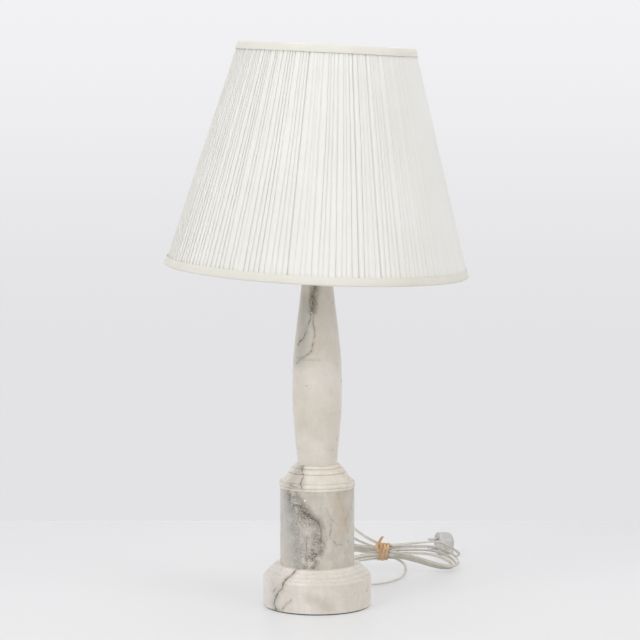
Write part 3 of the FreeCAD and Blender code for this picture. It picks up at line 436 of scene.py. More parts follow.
def on_radius(point, radius):
    flat = Vector((point[0], point[1], 0)).normalized()
    return (flat * radius + Vector((0, 0, point[2]))) * MM


def vein_mask(tree, where, path, width, radius):
    """The strongest of a vein's steps; its points in millimetres are put on the radius."""
    mask = None
    for start, end in zip(path, path[1:]):
        step = use(tree, crack_step, Position=where, From=on_radius(start, radius),
                   To=on_radius(end, radius), Width=width * MM)["Mask"]
        mask = step if mask is None else calc(tree, "MAXIMUM", mask, step)
    return mask


def marble(name, light, dark, radius, veins=(), zones=(), crackled=(), pits=(), mottle=0.5):
    """Cream marble: clouds, tinted zones, crackled stretches, dark veins and small pits; a tinted
    zone may also be painted shade.
    """
    made, tree, shader, coords = new_material(name)
    here = coords["Object"]
    wrapped = use(tree, wrap, Position=here, Radius=radius * MM)["Position"]
    broad = use(tree, wander, Position=here, Scale=22.0, Amount=0.030)["Position"]
    close = use(tree, wander, Position=wrapped, Scale=75.0, Amount=0.010)["Position"]
    near = use(tree, wander, Position=close, Scale=420.0, Amount=0.0022)["Position"]
    colour = use(tree, cloud, Position=broad, Scale=11.0, First=light, Second=dark)["Color"]
    for path, width, tint, weight in zones:
        zone = vein_mask(tree, close, path, width, radius)
        colour = blend_colour(tree, times(tree, zone, weight), colour, tint)
    colour = use(tree, speckle, Position=broad, Color=colour, Strength=mottle)["Color"]
    for path, width, weight in crackled:
        zone = vein_mask(tree, close, path, width, radius)
        coarse = use(tree, crackle, Position=near, Scale=290.0, Width=0.18)["Mask"]
        fine = use(tree, crackle, Position=near, Scale=520.0, Width=0.20)["Mask"]
        net = calc(tree, "MAXIMUM", coarse, times(tree, fine, 0.75))
        patchy = use(tree, cloud, Position=here, Scale=70.0, Low=0.36, High=0.56)["Mask"]
        share = times(tree, times(tree, net, zone), patchy)
        colour = blend_colour(tree, times(tree, share, weight), colour, crackle_dark)
        pale = noise(tree, near, 330.0, detail=2.0)["Fac"]
        chips = times(tree, remap(tree, pale, 0.60, 0.68), zone)
        colour = blend_colour(tree, times(tree, chips, 0.65 * weight), colour, chip_white)
    for path, width, weight in veins:
        halo = vein_mask(tree, close, path, 4.0 * width, radius)
        colour = blend_colour(tree, times(tree, halo, 0.30 * weight), colour, vein_halo)
        line = vein_mask(tree, near, path, width, radius)
        uneven = noise(tree, here, 240.0, detail=3.0)["Fac"]
        share = times(tree, line, remap(tree, uneven, 0.28, 0.58, 0.30, 1.0))
        colour = blend_colour(tree, times(tree, share, weight), colour, vein_dark)
    pit = 0.0
    for place, size, tint in pits:
        over = (place[0], place[1], place[2] + 0.5)
        sharp = remap(tree, vein_mask(tree, wrapped, [place, over], size, radius), 0.1, 0.45)
        colour = blend_colour(tree, sharp, colour, tint)
        pit = calc(tree, "MAXIMUM", pit, sharp)
    polish = use(tree, finish, Position=here, Scale=70.0, Roughness=0.30, Spread=0.18,
                 Grain=1500.0)
    surface = calc(tree, "SUBTRACT", polish["Height"], times(tree, pit, 6.0))
    give(tree, shader, Base_Color=colour, Roughness=polish["Roughness"],
         Normal=bumped(tree, surface, 0.00010), Subsurface_Weight=0.10,
         Subsurface_Radius=(0.006, 0.005, 0.004))
    return made


def two_toned(name, light, dark, patches, skin, depth, metallic=0.0, stretch=(1, 1, 1)):
    """Two close tones, an uneven sheen and a fine grain of that depth."""
    made, tree, shader, coords = new_material(name)
    here = vector_calc(tree, "MULTIPLY", coords["Object"], stretch)
    scale, low, high = patches
    tone = use(tree, cloud, Position=here, Scale=scale, Low=low, High=high, First=light,
               Second=dark)
    scale, roughness, spread, grain = skin
    polish = use(tree, finish, Position=here, Scale=scale, Roughness=roughness, Spread=spread,
                 Grain=grain)
    give(tree, shader, Base_Color=tone["Color"], Metallic=metallic,
         Roughness=polish["Roughness"], Normal=bumped(tree, polish["Height"], depth))
    return made


def brass(name, light, dark, roughness=0.24):
    return two_toned(name, light, dark, (120.0, 0.38, 0.72), (180.0, roughness, 0.22, 2500.0),
                     0.00004, metallic=1.0)


def plated_steel(name):
    return two_toned(name, srgb(196, 196, 198), srgb(168, 168, 172), (220.0, 0.3, 0.7),
                     (260.0, 0.32, 0.2, 3000.0), 0.00003, metallic=1.0, stretch=(1, 1, 9))


def moulded(name, light, dark, roughness):
    return two_toned(name, light, dark, (70.0, 0.3, 0.75), (90.0, roughness, 0.14, 1400.0),
                     0.00004)


def cloth(name, light, dark, threads):
    """Woven cloth on the piece's UV map, with a soft sheen."""
    made, tree, shader, coords = new_material(name)
    woven = use(tree, weave, UV=coords["UV"], Threads=threads, Slub=0.6)
    tone = use(tree, cloud, Position=coords["Object"], Scale=9.0, Low=0.3, High=0.7,
               First=light, Second=dark)
    shaded = wire(tree, "HueSaturation", {"Value": woven["Shade"], "Color": tone["Color"]})
    give(tree, shader, Base_Color=shaded.outputs["Color"], Roughness=0.85,
         Normal=bumped(tree, woven["Height"], 0.00006), Sheen_Weight=0.15, Sheen_Roughness=0.5)
    return made


def felt(name, light, dark):
    made, tree, shader, coords = new_material(name)
    here = coords["Object"]
    fibres = noise(tree, here, 1600.0, detail=4.0, rough=0.7)["Fac"]
    tone = use(tree, cloud, Position=here, Scale=60.0, First=light, Second=dark)
    give(tree, shader, Base_Color=tone["Color"], Roughness=0.95,
         Normal=bumped(tree, fibres, 0.0003), Sheen_Weight=0.3)
    return made


def raffia(name, light, dark, fibre):
    """Dry plant strip: fine light and dark fibres and a slight sheen."""
    made, tree, shader, coords = new_material(name)
    here = coords["Object"]
    fibres = wire(tree, "TexWave", {"Vector": here, "Scale": 260.0, "Distortion": 6.0,
                                    "Detail": 3.0}, bands_direction="X").outputs["Fac"]
    patches = use(tree, cloud, Position=here, Scale=90.0, Low=0.3, High=0.7, First=light,
                  Second=dark)
    lines = blend_colour(tree, times(tree, fibres, 0.45), patches["Color"], fibre)
    skin = use(tree, finish, Position=here, Scale=120.0, Roughness=0.5, Spread=0.2, Grain=900.0)
    give(tree, shader, Base_Color=lines, Roughness=skin["Roughness"],
         Normal=bumped(tree, fibres, 0.00015))
    return made


def clear_glass(name, tint):
    made, tree, shader, coords = new_material(name)
    smears = use(tree, finish, Position=coords["Object"], Scale=40.0, Roughness=0.03,
                 Spread=0.03, Grain=300.0)
    give(tree, shader, Base_Color=tint, Roughness=smears["Roughness"], Transmission_Weight=1.0,
         IOR=1.5)
    return made


stone_cream = srgb(233, 228, 219)
stone_beige = srgb(221, 213, 200)
stone_grey = srgb(188, 185, 176)
stone_tan = srgb(202, 188, 166)
crackle_dark = srgb(64, 61, 54)
chip_white = srgb(236, 233, 226)
vein_halo = srgb(150, 142, 128)
vein_dark = srgb(76, 71, 64)

column_marble = marble(
    "column_marble", stone_cream, stone_beige, 36.0, mottle=0.3,
    zones=[
        ([(-24, -22, 505), (-22, -26, 450), (-28, -24, 410)], 24.0, stone_grey, 0.75),
        # painted shade: the column's top is darker just under the lamp's shade
        ([(-2, -27, 540), (-8, -28, 498)], 20.0, srgb(176, 164, 142), 0.6),
    ],
    veins=[
        ([(-3.6, -25.9, 530), (-8.5, -28.6, 495.6), (-13.4, -30.2, 467.9), (-21.6, -27.7, 448),
          (-31.5, -18.7, 434)], 1.9, 0.85),
        ([(-12, -26, 530), (-9.5, -28.3, 508), (-3, -30.5, 490), (-6.9, -31.1, 479.4),
          (-3.6, -34.7, 451.9), (-6.9, -35.7, 435.6), (-11.7, -35.9, 422.6),
          (-24.8, -29.6, 413.8), (-33.1, -21.2, 404.8)], 1.5, 0.8),
        ([(-12, -26, 520), (-5, -28, 513), (-1, -28, 503), (-7, -28.5, 492), (-13, -28, 498),
          (-12, -26, 512)], 1.6, 0.8),
        ([(-33, -20, 414), (-20, -31, 411), (-6, -37, 411.5), (6, -37, 410)], 1.1, 0.35),
    ],
    crackled=[([(-4, -27, 530), (-8, -28.6, 492)], 14.0, 0.8)],
    pits=[((-16.7, -36.5, 368.6), 1.1, srgb(96, 88, 76)),
          ((-9.5, -29, 488), 1.2, srgb(240, 236, 228))])
cornice_marble = marble(
    "cornice_marble", srgb(239, 233, 223), srgb(231, 221, 208), 50.0,
    zones=[([(-38, -32, 232), (-44, -46, 204)], 21.0, srgb(190, 188, 180), 0.7)],
    veins=[([(-28, -30.6, 238), (-27, -38, 229), (-25.5, -48, 220), (-27.5, -54, 212),
             (-26.4, -58.1, 205.7), (-25, -60, 195)], 2.3, 0.85),
           ([(-26.4, -58.1, 206.7), (-34, -53, 205), (-44.5, -45.3, 207.2)], 1.5, 0.75),
           ([(-31, -30, 237), (-33, -40, 226), (-30, -50, 216)], 1.1, 0.4)])
drum_marble = marble(
    "drum_marble", srgb(214, 208, 198), srgb(200, 193, 181), 61.3, mottle=0.9,
    zones=[
        ([(-56, -24, 190), (-53, -30, 120)], 16.0, srgb(204, 202, 195), 0.7),
        ([(-46, -40, 170), (-40, -46, 84)], 26.0, srgb(194, 193, 187), 0.7),
        ([(34, -51, 184), (46, -41, 150), (40, -46, 130)], 26.0, stone_tan, 0.75),
        ([(-34, -51, 184), (-14, -60, 156), (2, -61, 140), (2, -61, 105)], 17.0,
         srgb(164, 158, 146), 0.75),
    ],
    crackled=[
        ([(-44, -42, 190), (-34, -51, 150), (-28, -54.5, 110), (-24, -56, 76)], 32.0, 0.55),
        ([(-42.8, -43.7, 192), (-28, -54.5, 170.6), (-18.2, -58.4, 158), (-2, -61, 146),
          (4, -61, 120), (-4.5, -60.9, 92), (-10, -60, 74)], 17.0, 1.0),
    ],
    veins=[
        ([(-24.5, -56.3, 166), (-12, -60, 156), (-2, -61.2, 153), (5, -61, 145)], 2.8, 0.75),
        ([(2.9, -61, 150.4), (5.5, -61, 130), (6.2, -60.8, 112), (3, -61, 96)], 1.8, 0.6),
        ([(-15, -59, 124), (-18, -58.5, 104), (-17, -59, 74)], 1.7, 0.55),
        ([(57.2, -22.1, 178.5), (52, -32, 160), (45.5, -40.9, 148.5), (50, -36, 128)], 1.2, 0.45),
        ([(22, -57, 144), (21, -57.5, 126), (30, -53.4, 112), (38.9, -47.2, 108)], 3.0, 0.4),
        ([(14, -59.5, 170), (24, -56, 150), (33, -51.5, 142)], 1.6, 0.3),
    ],
    pits=[((-19.9, -57.8, 183.2), 2.4, srgb(248, 246, 240))])
plinth_marble = marble(
    "plinth_marble", srgb(236, 230, 222), srgb(225, 217, 206), 80.0, mottle=0.6,
    zones=[([(-72, -52, 60), (-70, -56, 8)], 24.0, srgb(212, 209, 201), 0.6),
           ([(-14, -84, 30), (20, -84, 12)], 16.0, srgb(205, 196, 182), 0.6)],
    veins=[
        ([(-30, -56, 70), (-40, -61, 61), (-47.1, -62.2, 55), (-56.5, -69.3, 41.6),
          (-66.1, -60.1, 26.5), (-70.7, -54.8, 13.8), (-67.3, -58.9, 3)], 2.6, 0.9),
        ([(-66.1, -60.1, 26.5), (-73.2, -51.5, 31.4), (-67.3, -58.9, 39.5)], 2.0, 0.7),
        ([(-58, -69, 3), (-49.6, -74.4, 16.4), (-41.4, -79.1, 23.9)], 2.0, 0.5),
        ([(-72, -52, 4), (-62, -64, 5), (-55, -70, 9)], 1.6, 0.4),
    ],
    pits=[((81.3, -37.3, 30.6), 1.5, srgb(90, 84, 74))])

lamp_brass = brass("lamp_brass", srgb(226, 200, 138), srgb(196, 164, 100))
old_brass = brass("old_brass", srgb(206, 180, 120), srgb(150, 122, 72), roughness=0.34)
zinc = plated_steel("zinc_plate")
white_wire = moulded("white_wire", srgb(240, 239, 234), srgb(230, 228, 220), 0.45)
liner_plastic = moulded("liner_plastic", srgb(246, 244, 238), srgb(240, 237, 229), 0.5)
porcelain = moulded("porcelain", srgb(244, 243, 238), srgb(236, 234, 226), 0.12)
black_moulding = moulded("black_moulding", srgb(30, 30, 31), srgb(22, 22, 23), 0.28)
insulating_card = moulded("insulating_card", srgb(120, 100, 78), srgb(100, 84, 66), 0.8)
cap_aluminium = plated_steel("cap_aluminium")
base_felt = felt("base_felt", srgb(70, 84, 66), srgb(56, 68, 54))
bulb_glass = clear_glass("bulb_glass", (1.0, 1.0, 0.99, 1.0))
stem_glass = clear_glass("stem_glass", (0.96, 0.99, 0.98, 1.0))
ivory_flex = moulded("ivory_flex", srgb(222, 218, 208), srgb(206, 201, 189), 0.36)
plug_plastic = moulded("plug_plastic", srgb(208, 206, 204), srgb(198, 196, 193), 0.30)
tie_strip = raffia("tie_strip", srgb(246, 216, 176), srgb(222, 180, 134),
                   srgb(168, 116, 70))
pleat_cloth = cloth("pleat_cloth", srgb(243, 242, 238), srgb(239, 238, 233), 2400.0)
tape_cloth = cloth("tape_cloth", srgb(234, 231, 222), srgb(228, 225, 214), 1800.0)


# ---- shade
def shade_radius(z, inset):
    slope = (shade_bottom_radius - shade_top_radius) / shade_height
    return shade_bottom_radius - (z - shade_bottom_z) * slope - inset


def ring_point(radius, angle, z):
    return Vector((radius * math.cos(angle), radius * math.sin(angle), z))


def fold_angles(share, uneven):
    """Fold lines round the shade at a height: even at the foot, bunched further up."""
    group_angle = 2.0 * math.pi / pleat_groups
    narrow = (1.0 - wide_pleat_share) / (pleats_in_group - 1)
    angles = []
    for group in range(pleat_groups):
        for pleat in range(pleats_in_group):
            even = pleat / pleats_in_group
            bunched = wide_pleat_share + (pleat - 1) * narrow if pleat else 0.0
            place = group + even + (bunched - even) * min(1.0, bunching * share)
            angles.append((place + uneven[group * pleats_in_group + pleat]) * group_angle)
    return angles


def make_pleated_cloth():
    """Knife pleats: each face rises to its fold, tucks back under it and drops."""
    chance = random.Random(11)
    count = pleat_groups * pleats_in_group
    uneven = [chance.uniform(-0.035, 0.035) for _ in range(count)]
    bow = [chance.uniform(-0.020, 0.020) for _ in range(count)]
    depths = [chance.uniform(0.6, 1.3)
              * (pleat_depth if (pleat + 1) % pleats_in_group else group_end_depth)
              for pleat in range(count)]
    # share of the pleat's width, share of its depth
    section = [(0.05, 1.0), (0.12, 0.80), (0.22, 0.55), (0.35, 0.33), (0.55, 0.16),
               (0.80, 0.05), (0.96, 0.0), (1.005, 0.09), (0.985, 0.40), (0.96, 0.75)]
    rows = 14
    low = shade_bottom_z + cloth_rim_gap
    high = shade_bottom_z + shade_height - cloth_rim_gap
    points = []
    for row in range(rows + 1):
        share = row / rows
        z = low + (high - low) * share
        crest = shade_radius(z, crest_inset)
        depth = pleat_depth_bottom + (pleat_depth_top - pleat_depth_bottom) * share
        slack = [uneven[i] + bow[i] * math.sin(math.pi * share) for i in range(count)]
        folds = fold_angles(share, slack)
        folds.append(folds[0] + 2.0 * math.pi)
        for index in range(count):
            start, end = folds[index], folds[index + 1]
            sink, before = depth * depths[index], depth * depths[index - 1]
            for across, down in section:
                reach = sink if across > 0.5 else before
                angle = start + (end - start) * across
                points.append(ring_point(crest - down * reach, angle, z))
    ring = count * len(section)
    faces = tube_faces(rows + 1, ring)[1:-1]
    piece = new_mesh_piece("pleated_cloth", points, faces)
    add_cloth_map(piece, ring, rows)
    put_modifier(piece, "SOLIDIFY", thickness=cloth_thickness, offset=-1.0)
    smooth(piece, 50.0)
    placed(piece, head_matrix())
    piece.data.materials.append(pleat_cloth)
    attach(piece, "shade")
    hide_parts("pleated_cover")


def lay_map(piece, steps, corners, place_of):
    """UV map of a grid: place_of gives a corner's place from its row and step."""
    layer = piece.data.uv_layers.new(name="UVMap")
    for polygon in piece.data.polygons:
        row, step = divmod(polygon.index, steps)
        for loop, (more_rows, more_steps) in zip(polygon.loop_indices, corners):
            layer.data[loop].uv = place_of(row + more_rows, step + more_steps)


def add_cloth_map(piece, ring, rows):
    """UV map in metres along the cloth: round the rows and up the folds."""
    around = [0.0]
    for step in range(ring):
        apart = piece.data.vertices[(step + 1) % ring].co - piece.data.vertices[step].co
        around.append(around[-1] + apart.length)
    tall = (piece.data.vertices[ring * rows].co - piece.data.vertices[0].co).length
    lay_map(piece, ring, ((0, 0), (0, 1), (1, 1), (1, 0)),
            lambda row, step: (around[step], tall * row / rows))


def make_tape(name, node, edge, outside_height, way):
    """Folded tape with its ends lapped at the seam; way points from the rim to the cloth."""
    chance = random.Random(len(name))
    fold = edge + way * 0.55 * MM
    inner = ring_inset + 3.2 * MM
    # inset from the crests, height
    section = [
        (0.45 * MM, edge + way * outside_height),
        (0.20 * MM, edge + way * (outside_height - 1.2 * MM)),
        (0.10 * MM, edge + way * 0.55 * outside_height), (0.25 * MM, edge + way * 3.0 * MM),
        (0.55 * MM, edge + way * 1.4 * MM), (1.60 * MM, fold),
        (3.50 * MM, fold - way * 0.05 * MM), (inner - 1.2 * MM, fold),
        (inner, edge + way * 1.6 * MM), (inner + 0.1 * MM, edge + way * tape_inner_height)]
    steps = 360
    lap = math.radians(2.6)
    start = seam_azimuth - hinge_azimuth
    points = []
    for step in range(steps + 1):
        share = step / steps
        angle = start + share * (2.0 * math.pi + lap)
        over = max(0.0, (share - 0.985) / 0.015)
        lift = -0.9 * MM * min(1.0, over * 1.6)
        ripple = 0.10 * MM * math.sin(angle * 31.0) + chance.uniform(-0.04, 0.04) * MM
        for place, (inset, z) in enumerate(section):
            free = 1.0 if place == 0 else 0.4
            points.append(ring_point(shade_radius(z, inset + lift + 0.3 * ripple), angle,
                                     z + way * free * ripple))
    width = len(section)
    faces = []
    for step in range(steps):
        for place in range(width - 1):
            first = step * width + place
            faces.append((first, first + width, first + width + 1, first + 1))
    piece = new_mesh_piece(name, points, faces)
    length = 2.0 * math.pi * shade_radius(edge, 0.0)
    lay_map(piece, width - 1, ((0, 0), (1, 0), (1, 1), (0, 1)),
            lambda along, across: (along * length / steps, across * 3.0 * MM))
    put_modifier(piece, "SOLIDIFY", thickness=tape_cloth_thickness, offset=0.0)
    face_outwards(piece)
    smooth(piece, 60.0)
    placed(piece, head_matrix())
    piece.data.materials.append(tape_cloth)
    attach(piece, "shade")
    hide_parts(node)


# ---- flex
def hank_point(turns):
    """A point of the tied hank, counted in turns from the front of its waist."""
    angle = 2.0 * math.pi * turns
    along = math.sin(angle)
    lobe = along * along
    lift = 0.0
    tilt, fan, drop = left_tilt, left_fan, left_drop
    if along <= 0:
        reach = right_reach + right_reach_growth * turns
        swell = right_swell + right_swell_growth * turns
        tilt, fan, drop = right_tilt, right_fan, right_drop
    elif turns > stray_from:
        reach, swell = stray_reach, stray_swell
        lift = stray_rise * (1.0 - abs(math.cos(angle)) ** 5)
    else:
        reach = left_reach - left_reach_change * math.sin(2.3 * turns)
        swell = left_swell
    across = -math.cos(angle) * (waist_half + swell * lobe)
    layer = (turns - hank_turns / 2.0) * waist_pitch * (1.0 + fan * lobe)
    slant = waist_tilt + (tilt - waist_tilt) * lobe
    return Vector((hank_centre.x - reach * along,
                   hank_centre.y + across * math.cos(slant) - layer * math.sin(slant),
                   hank_centre.z - drop * lobe + lift
                   + across * math.sin(slant) + layer * math.cos(slant)))


def hank_way(turns):
    step = 1e-4
    return (hank_point(turns + step) - hank_point(turns - step)).normalized()


def plug_way():
    return Vector((math.cos(plug_azimuth), math.sin(plug_azimuth), 0))


def relief_way():
    level = Vector((-plug_way().y, plug_way().x, 0))
    return level * math.cos(relief_dip) - Vector((0, 0, math.sin(relief_dip)))


def flex_route():
    """Control points from the grommet through the hank to the plug."""
    start_way, end_way = hank_way(0), hank_way(hank_turns)
    hank_start = hank_point(0) - start_way * flex_width
    hank_end = hank_point(hank_turns) + end_way * flex_width
    boot = plug_centre + relief_way() * (plug_radius - relief_seat + relief_length)
    run = [(0, 0.113, 0.011), (0.009, 0.134, 0.0076), (0.028, 0.147, 0.0036),
           (0.054, 0.151, 0.0027), (0.082, 0.149, 0.0027), (0.107, 0.155, 0.0027),
           (0.126, 0.172, 0.0027), (0.140, 0.194, 0.0027), (0.150, 0.215, 0.0034),
           (0.1555, 0.236, 0.0056), (0.1575, 0.256, 0.0087), (0.157, 0.274, 0.0124),
           (0.154, 0.290, 0.0136), (0.1478, 0.3008, 0.0166)]
    steps = round(hank_turns * hank_steps)
    hank = [hank_point(step / hank_steps) for step in range(steps)] + [hank_point(hank_turns)]
    tail = [(0.245, 0.342, 0.031), (0.257, 0.354, 0.0215), (0.261, 0.371, 0.0125)]
    return ([flex_exit] + [Vector(place) for place in run] + [hank_start - start_way * 0.013]
            + hank + [hank_end + end_way * 0.017] + [Vector(place) for place in tail]
            + [boot + relief_way() * 0.017, boot])


def flex_line():
    """The flex's smooth centreline, read from a spline through its route."""
    route = flex_route()
    curve = bpy.data.curves.new("flex_line", "CURVE")
    curve.dimensions = "3D"
    curve.resolution_u = 8
    spline = curve.splines.new("NURBS")
    spline.points.add(len(route) - 1)
    for control, place in zip(spline.points, route):
        control.co = (*place, 1.0)
    spline.order_u = 3
    spline.use_endpoint_u = True
    holder = bpy.data.objects.new("flex_line", curve)
    bpy.context.scene.collection.objects.link(holder)
    line = bpy.data.meshes.new_from_object(holder)
    points = [vertex.co.copy() for vertex in line.vertices]
    bpy.data.objects.remove(holder)
    bpy.data.meshes.remove(line)
    return points


def twin_section():
    """Outline of twin flex: two round cores with a groove between them."""
    core = 1.32 * MM
    shift = flex_width / 2.0 - core
    groove = math.radians(48.0)
    outline = []
    for side in (1, -1):
        for step in range(9):
            angle = (math.pi - groove) * (step / 4.0 - 1.0)
            if side < 0:
                angle += math.pi
            outline.append((side * shift + core * math.cos(angle), core * math.sin(angle)))
    return outline


def swept(name, line, outline, first_side, roll):
    """Sweeps an outline along a line.  roll turns it by the length gone."""
    points = []
    side = first_side.normalized()
    gone = 0.0
    for index, here in enumerate(line):
        before = line[max(index - 1, 0)]
        after = line[min(index + 1, len(line) - 1)]
        way = (after - before).normalized()
        gone += (here - before).length
        side = (side - way * side.dot(way)).normalized()
        turned_side = Matrix.Rotation(roll(gone), 3, way) @ side
        up = way.cross(turned_side)
        for across, high in outline:
            points.append(here + turned_side * across + up * high)
    return new_mesh_piece(name, points, tube_faces(len(line), len(outline)))


def make_flex():
    line = flex_line()
    run_length = 0.34

    def roll(gone):
        if gone < run_length:
            return 0.0
        past = gone - run_length
        return 0.9 * math.sin(past * 17.0) + 0.7 * math.sin(past * 7.3)

    piece = swept("flex", line, twin_section(), Vector((1, 0, 0)), roll)
    face_outwards(piece)
    smooth(piece, 50.0)
    piece.data.materials.append(ivory_flex)
    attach(piece, "base")
    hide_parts("cord_run", "cord_hank", "cord_tail")


# ---- tie
def make_tie():
    """Flat strip wound slantwise round the waist, with a looped knot and a standing end."""
    half_wide = 8.0 * MM
    half_tall = 14.6 * MM
    turns = 3.0
    steps = 130
    corner = 0.66
    strip = [(-2.3, -0.35), (2.3, -0.35), (2.6, 0.1), (2.1, 1.2), (1.0, 1.5), (0.3, 0.9),
             (-0.9, 1.5), (-2.1, 1.1), (-2.6, 0.1)]
    points = []
    for step in range(steps + 1):
        share = step / steps
        angle = math.radians(20.0) + 2.0 * math.pi * turns * share
        wide = math.copysign(abs(math.cos(angle)) ** corner, math.cos(angle)) * half_wide
        tall = math.copysign(abs(math.sin(angle)) ** corner, math.sin(angle)) * half_tall
        along = (-9.3 + 18.6 * share) * MM + 3.6 * MM * math.sin(angle + 0.9 * share)
        outward = Vector((0, math.cos(angle) / half_wide, math.sin(angle) / half_tall))
        outward.normalize()
        raised = (0.3 + 1.2 * math.sin(math.pi * share)) * MM
        for across, high in strip:
            points.append(Vector((along + across * MM, wide, tall))
                          + outward * (high * MM + raised))
    band = new_mesh_piece("tie_band", points, tube_faces(steps + 1, len(strip)))
    knot = tie_end("tie_knot", [(-8, -11, 9), (-12, -12, 14), (-14, -9, 20), (-12, -5, 24),
                                (-7, -5, 23), (-5, -8, 17), (-8, -11, 12), (-11, -12, 9)],
                   2.3, 4.0)
    tail = tie_end("tie_tail", [(-6, -9, 12), (-10, -7, 18), (-9, -5, 26), (-6, -4, 33),
                                (-3, -4, 39)], 2.8, 8.0)
    pieces = [band, knot, tail]
    where = Matrix.Translation(hank_centre) @ Matrix.Rotation(waist_tilt, 4, "X")
    for piece in pieces:
        face_outwards(piece)
        placed(piece, where)
        smooth(piece, 45.0)
        piece.data.materials.append(tie_strip)
        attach(piece, "base")
        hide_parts("hank_tie")
    return pieces


def tie_end(name, route, half_width, roll):
    """A length of the tie's strip, folded along its middle."""
    strip = [(-half_width, -0.2), (-0.5 * half_width, -0.5), (0, 0.1), (0.5 * half_width, -0.5),
             (half_width, -0.2), (half_width, 0.5), (0.5 * half_width, 0.3), (0, 0.9),
             (-0.5 * half_width, 0.3), (-half_width, 0.5)]
    points = [Vector(place) * MM for place in route]
    line = []
    for index in range(len(points) - 1):
        ends = (points[max(index - 1, 0)], points[index], points[index + 1],
                points[min(index + 2, len(points) - 1)])
        for part in range(5):
            line.append(between(ends, part / 5.0))
    line.append(points[-1])
    outline = [(across * MM, high * MM) for across, high in strip]
    return swept(name, line, outline, Vector((1, 0.2, 0)), lambda gone: gone * roll)


def between(ends, share):
    """Smooth curve through four points, between the middle two."""
    before, start, end, after = ends
    return 0.5 * (2.0 * start + (end - before) * share
                  + (2.0 * before - 5.0 * start + 4.0 * end - after) * share ** 2
                  + (3.0 * start - before - 3.0 * end + after) * share ** 3)


# ---- plug
def aim(place, way):
    turn = Vector((0, 0, 1)).rotation_difference(way).to_matrix().to_4x4()
    return Matrix.Translation(place) @ turn


def make_plug():
    """Round moulded plug: domed back, ribbed grip, bare panel and a flat front."""
    half = plug_half_length
    r = plug_radius
    rings = [(2.0 * MM, -half)]
    for step in range(1, 9):
        angle = math.radians(90.0 * step / 9.0)
        rings.append((r * 0.96 * math.sin(angle), -half + 0.62 * half * (1 - math.cos(angle))))
    rings += [(r * 0.985, -0.30 * half), (r, -0.16 * half), (r, 0.30 * half),
              (r - 0.5 * MM, 0.34 * half), (r - 0.5 * MM, 0.40 * half), (r, 0.44 * half),
              (r, half - 1.0 * MM), (r - 1.0 * MM, half), (r - 4.0 * MM, half),
              (r - 4.6 * MM, half - 0.6 * MM), (2.0 * MM, half - 0.6 * MM)]
    shell = lathe("plug_shell", rings, segments=72)
    raise_grip(shell, r, -0.16 * half, 0.30 * half)
    soften_edges(shell, 0.35 * MM)
    placed(shell, aim(plug_centre, plug_way()))
    shell.data.materials.append(plug_plastic)
    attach(shell, "base")
    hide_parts("plug_body")
    return [shell, make_boot()]


def raise_grip(shell, radius, low, high):
    """Every third face of the grip's ring, in two opposite arcs only, stands out as a rib."""
    open_mesh(shell, pick="DESELECT")
    close_mesh()
    for polygon in shell.data.polygons:
        middle = polygon.center
        on_ring = low < middle.z < high and math.hypot(middle.x, middle.y) > 0.97 * radius
        sector = math.degrees(math.atan2(middle.y, middle.x)) % 360.0
        polygon.select = on_ring and int(sector / 5.0) % 3 == 0 and 50.0 < sector % 180.0 < 130.0
    bpy.ops.object.mode_set(mode="EDIT")
    bpy.ops.mesh.extrude_region_shrink_fatten(TRANSFORM_OT_shrink_fatten={"value": 0.45 * MM})
    close_mesh()


def make_boot():
    """Tapered strain relief with cut rings, over the flex where it enters the plug."""
    seat = plug_radius - relief_seat
    wide = flex_width / 2.0 + 2.6 * MM
    slim = flex_width / 2.0 + 0.8 * MM
    rings = [(wide, seat), (wide, seat + relief_seat)]
    count = 5
    pitch = (relief_length - relief_seat) / (count + 0.5)
    for index in range(count):
        z = seat + relief_seat + (index + 0.5) * pitch
        here = wide + (slim - wide) * (index + 0.5) / (count + 0.5)
        groove = max(here - 1.0 * MM, flex_width / 2.0 + 0.3 * MM)
        rings += [(here, z), (groove, z + 0.12 * pitch), (groove, z + 0.38 * pitch),
                  (here - 0.1 * MM, z + 0.5 * pitch)]
    rings += [(slim, seat + relief_length - 0.5 * MM), (slim - 0.4 * MM, seat + relief_length)]
    boot = lathe("plug_boot", rings, segments=36)
    soften_edges(boot, 0.15 * MM)
    placed(boot, aim(plug_centre, relief_way()))
    boot.data.materials.append(plug_plastic)
    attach(boot, "base")
    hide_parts("plug_relief")
    return boot


# ---- solids of the frame
def dress(look, *names):
    for name in names:
        mesh = nodes[name].data
        mesh.materials.clear()
        mesh.materials.append(look)


def dress_nodes():
    dress(column_marble, "column")
    dress(cornice_marble, "cornice")
    dress(drum_marble, "drum")
    dress(plinth_marble, "plinth")
    dress(base_felt, "felt_pad")
    dress(lamp_brass, "neck_cap", "top_nut", "knuckle_fork", "knuckle_tongue", "clamp_screw",
          "clamp_nut", "harp_saddle", "holder_cap", "holder_shell", "harp", "harp_stud",
          "harp_sleeve_left", "harp_sleeve_right", "finial")
    dress(old_brass, "screw_shell", "centre_contact", "terminal_screws")
    dress(zinc, "tie_rod", "base_washer", "base_nut", "nipple", "holder_locknut", "plug_pins")
    dress(liner_plastic, "shade_lining")
    dress(white_wire, "bottom_ring", "top_ring", "shade_ribs", "spider")
    dress(porcelain, "holder_core")
    dress(black_moulding, "switch_key", "cord_grommet", "bulb_insulator")
    dress(insulating_card, "holder_liner")
    dress(cap_aluminium, "bulb_cap", "bulb_contact")
    dress(bulb_glass, "bulb_glass")
    dress(stem_glass, "bulb_stem")
    dress(zinc, "filament")
    dress(ivory_flex, "inner_flex", "core_wires")


# ---- stage
def seen_directly(tree):
    """1 for rays that show the stage itself: the camera's, mirrored and passed through."""
    light = wire(tree, "LightPath").outputs
    shown = calc(tree, "MAXIMUM", light["Is Camera Ray"], light["Is Glossy Ray"])
    return calc(tree, "MAXIMUM", shown, light["Is Transmission Ray"])


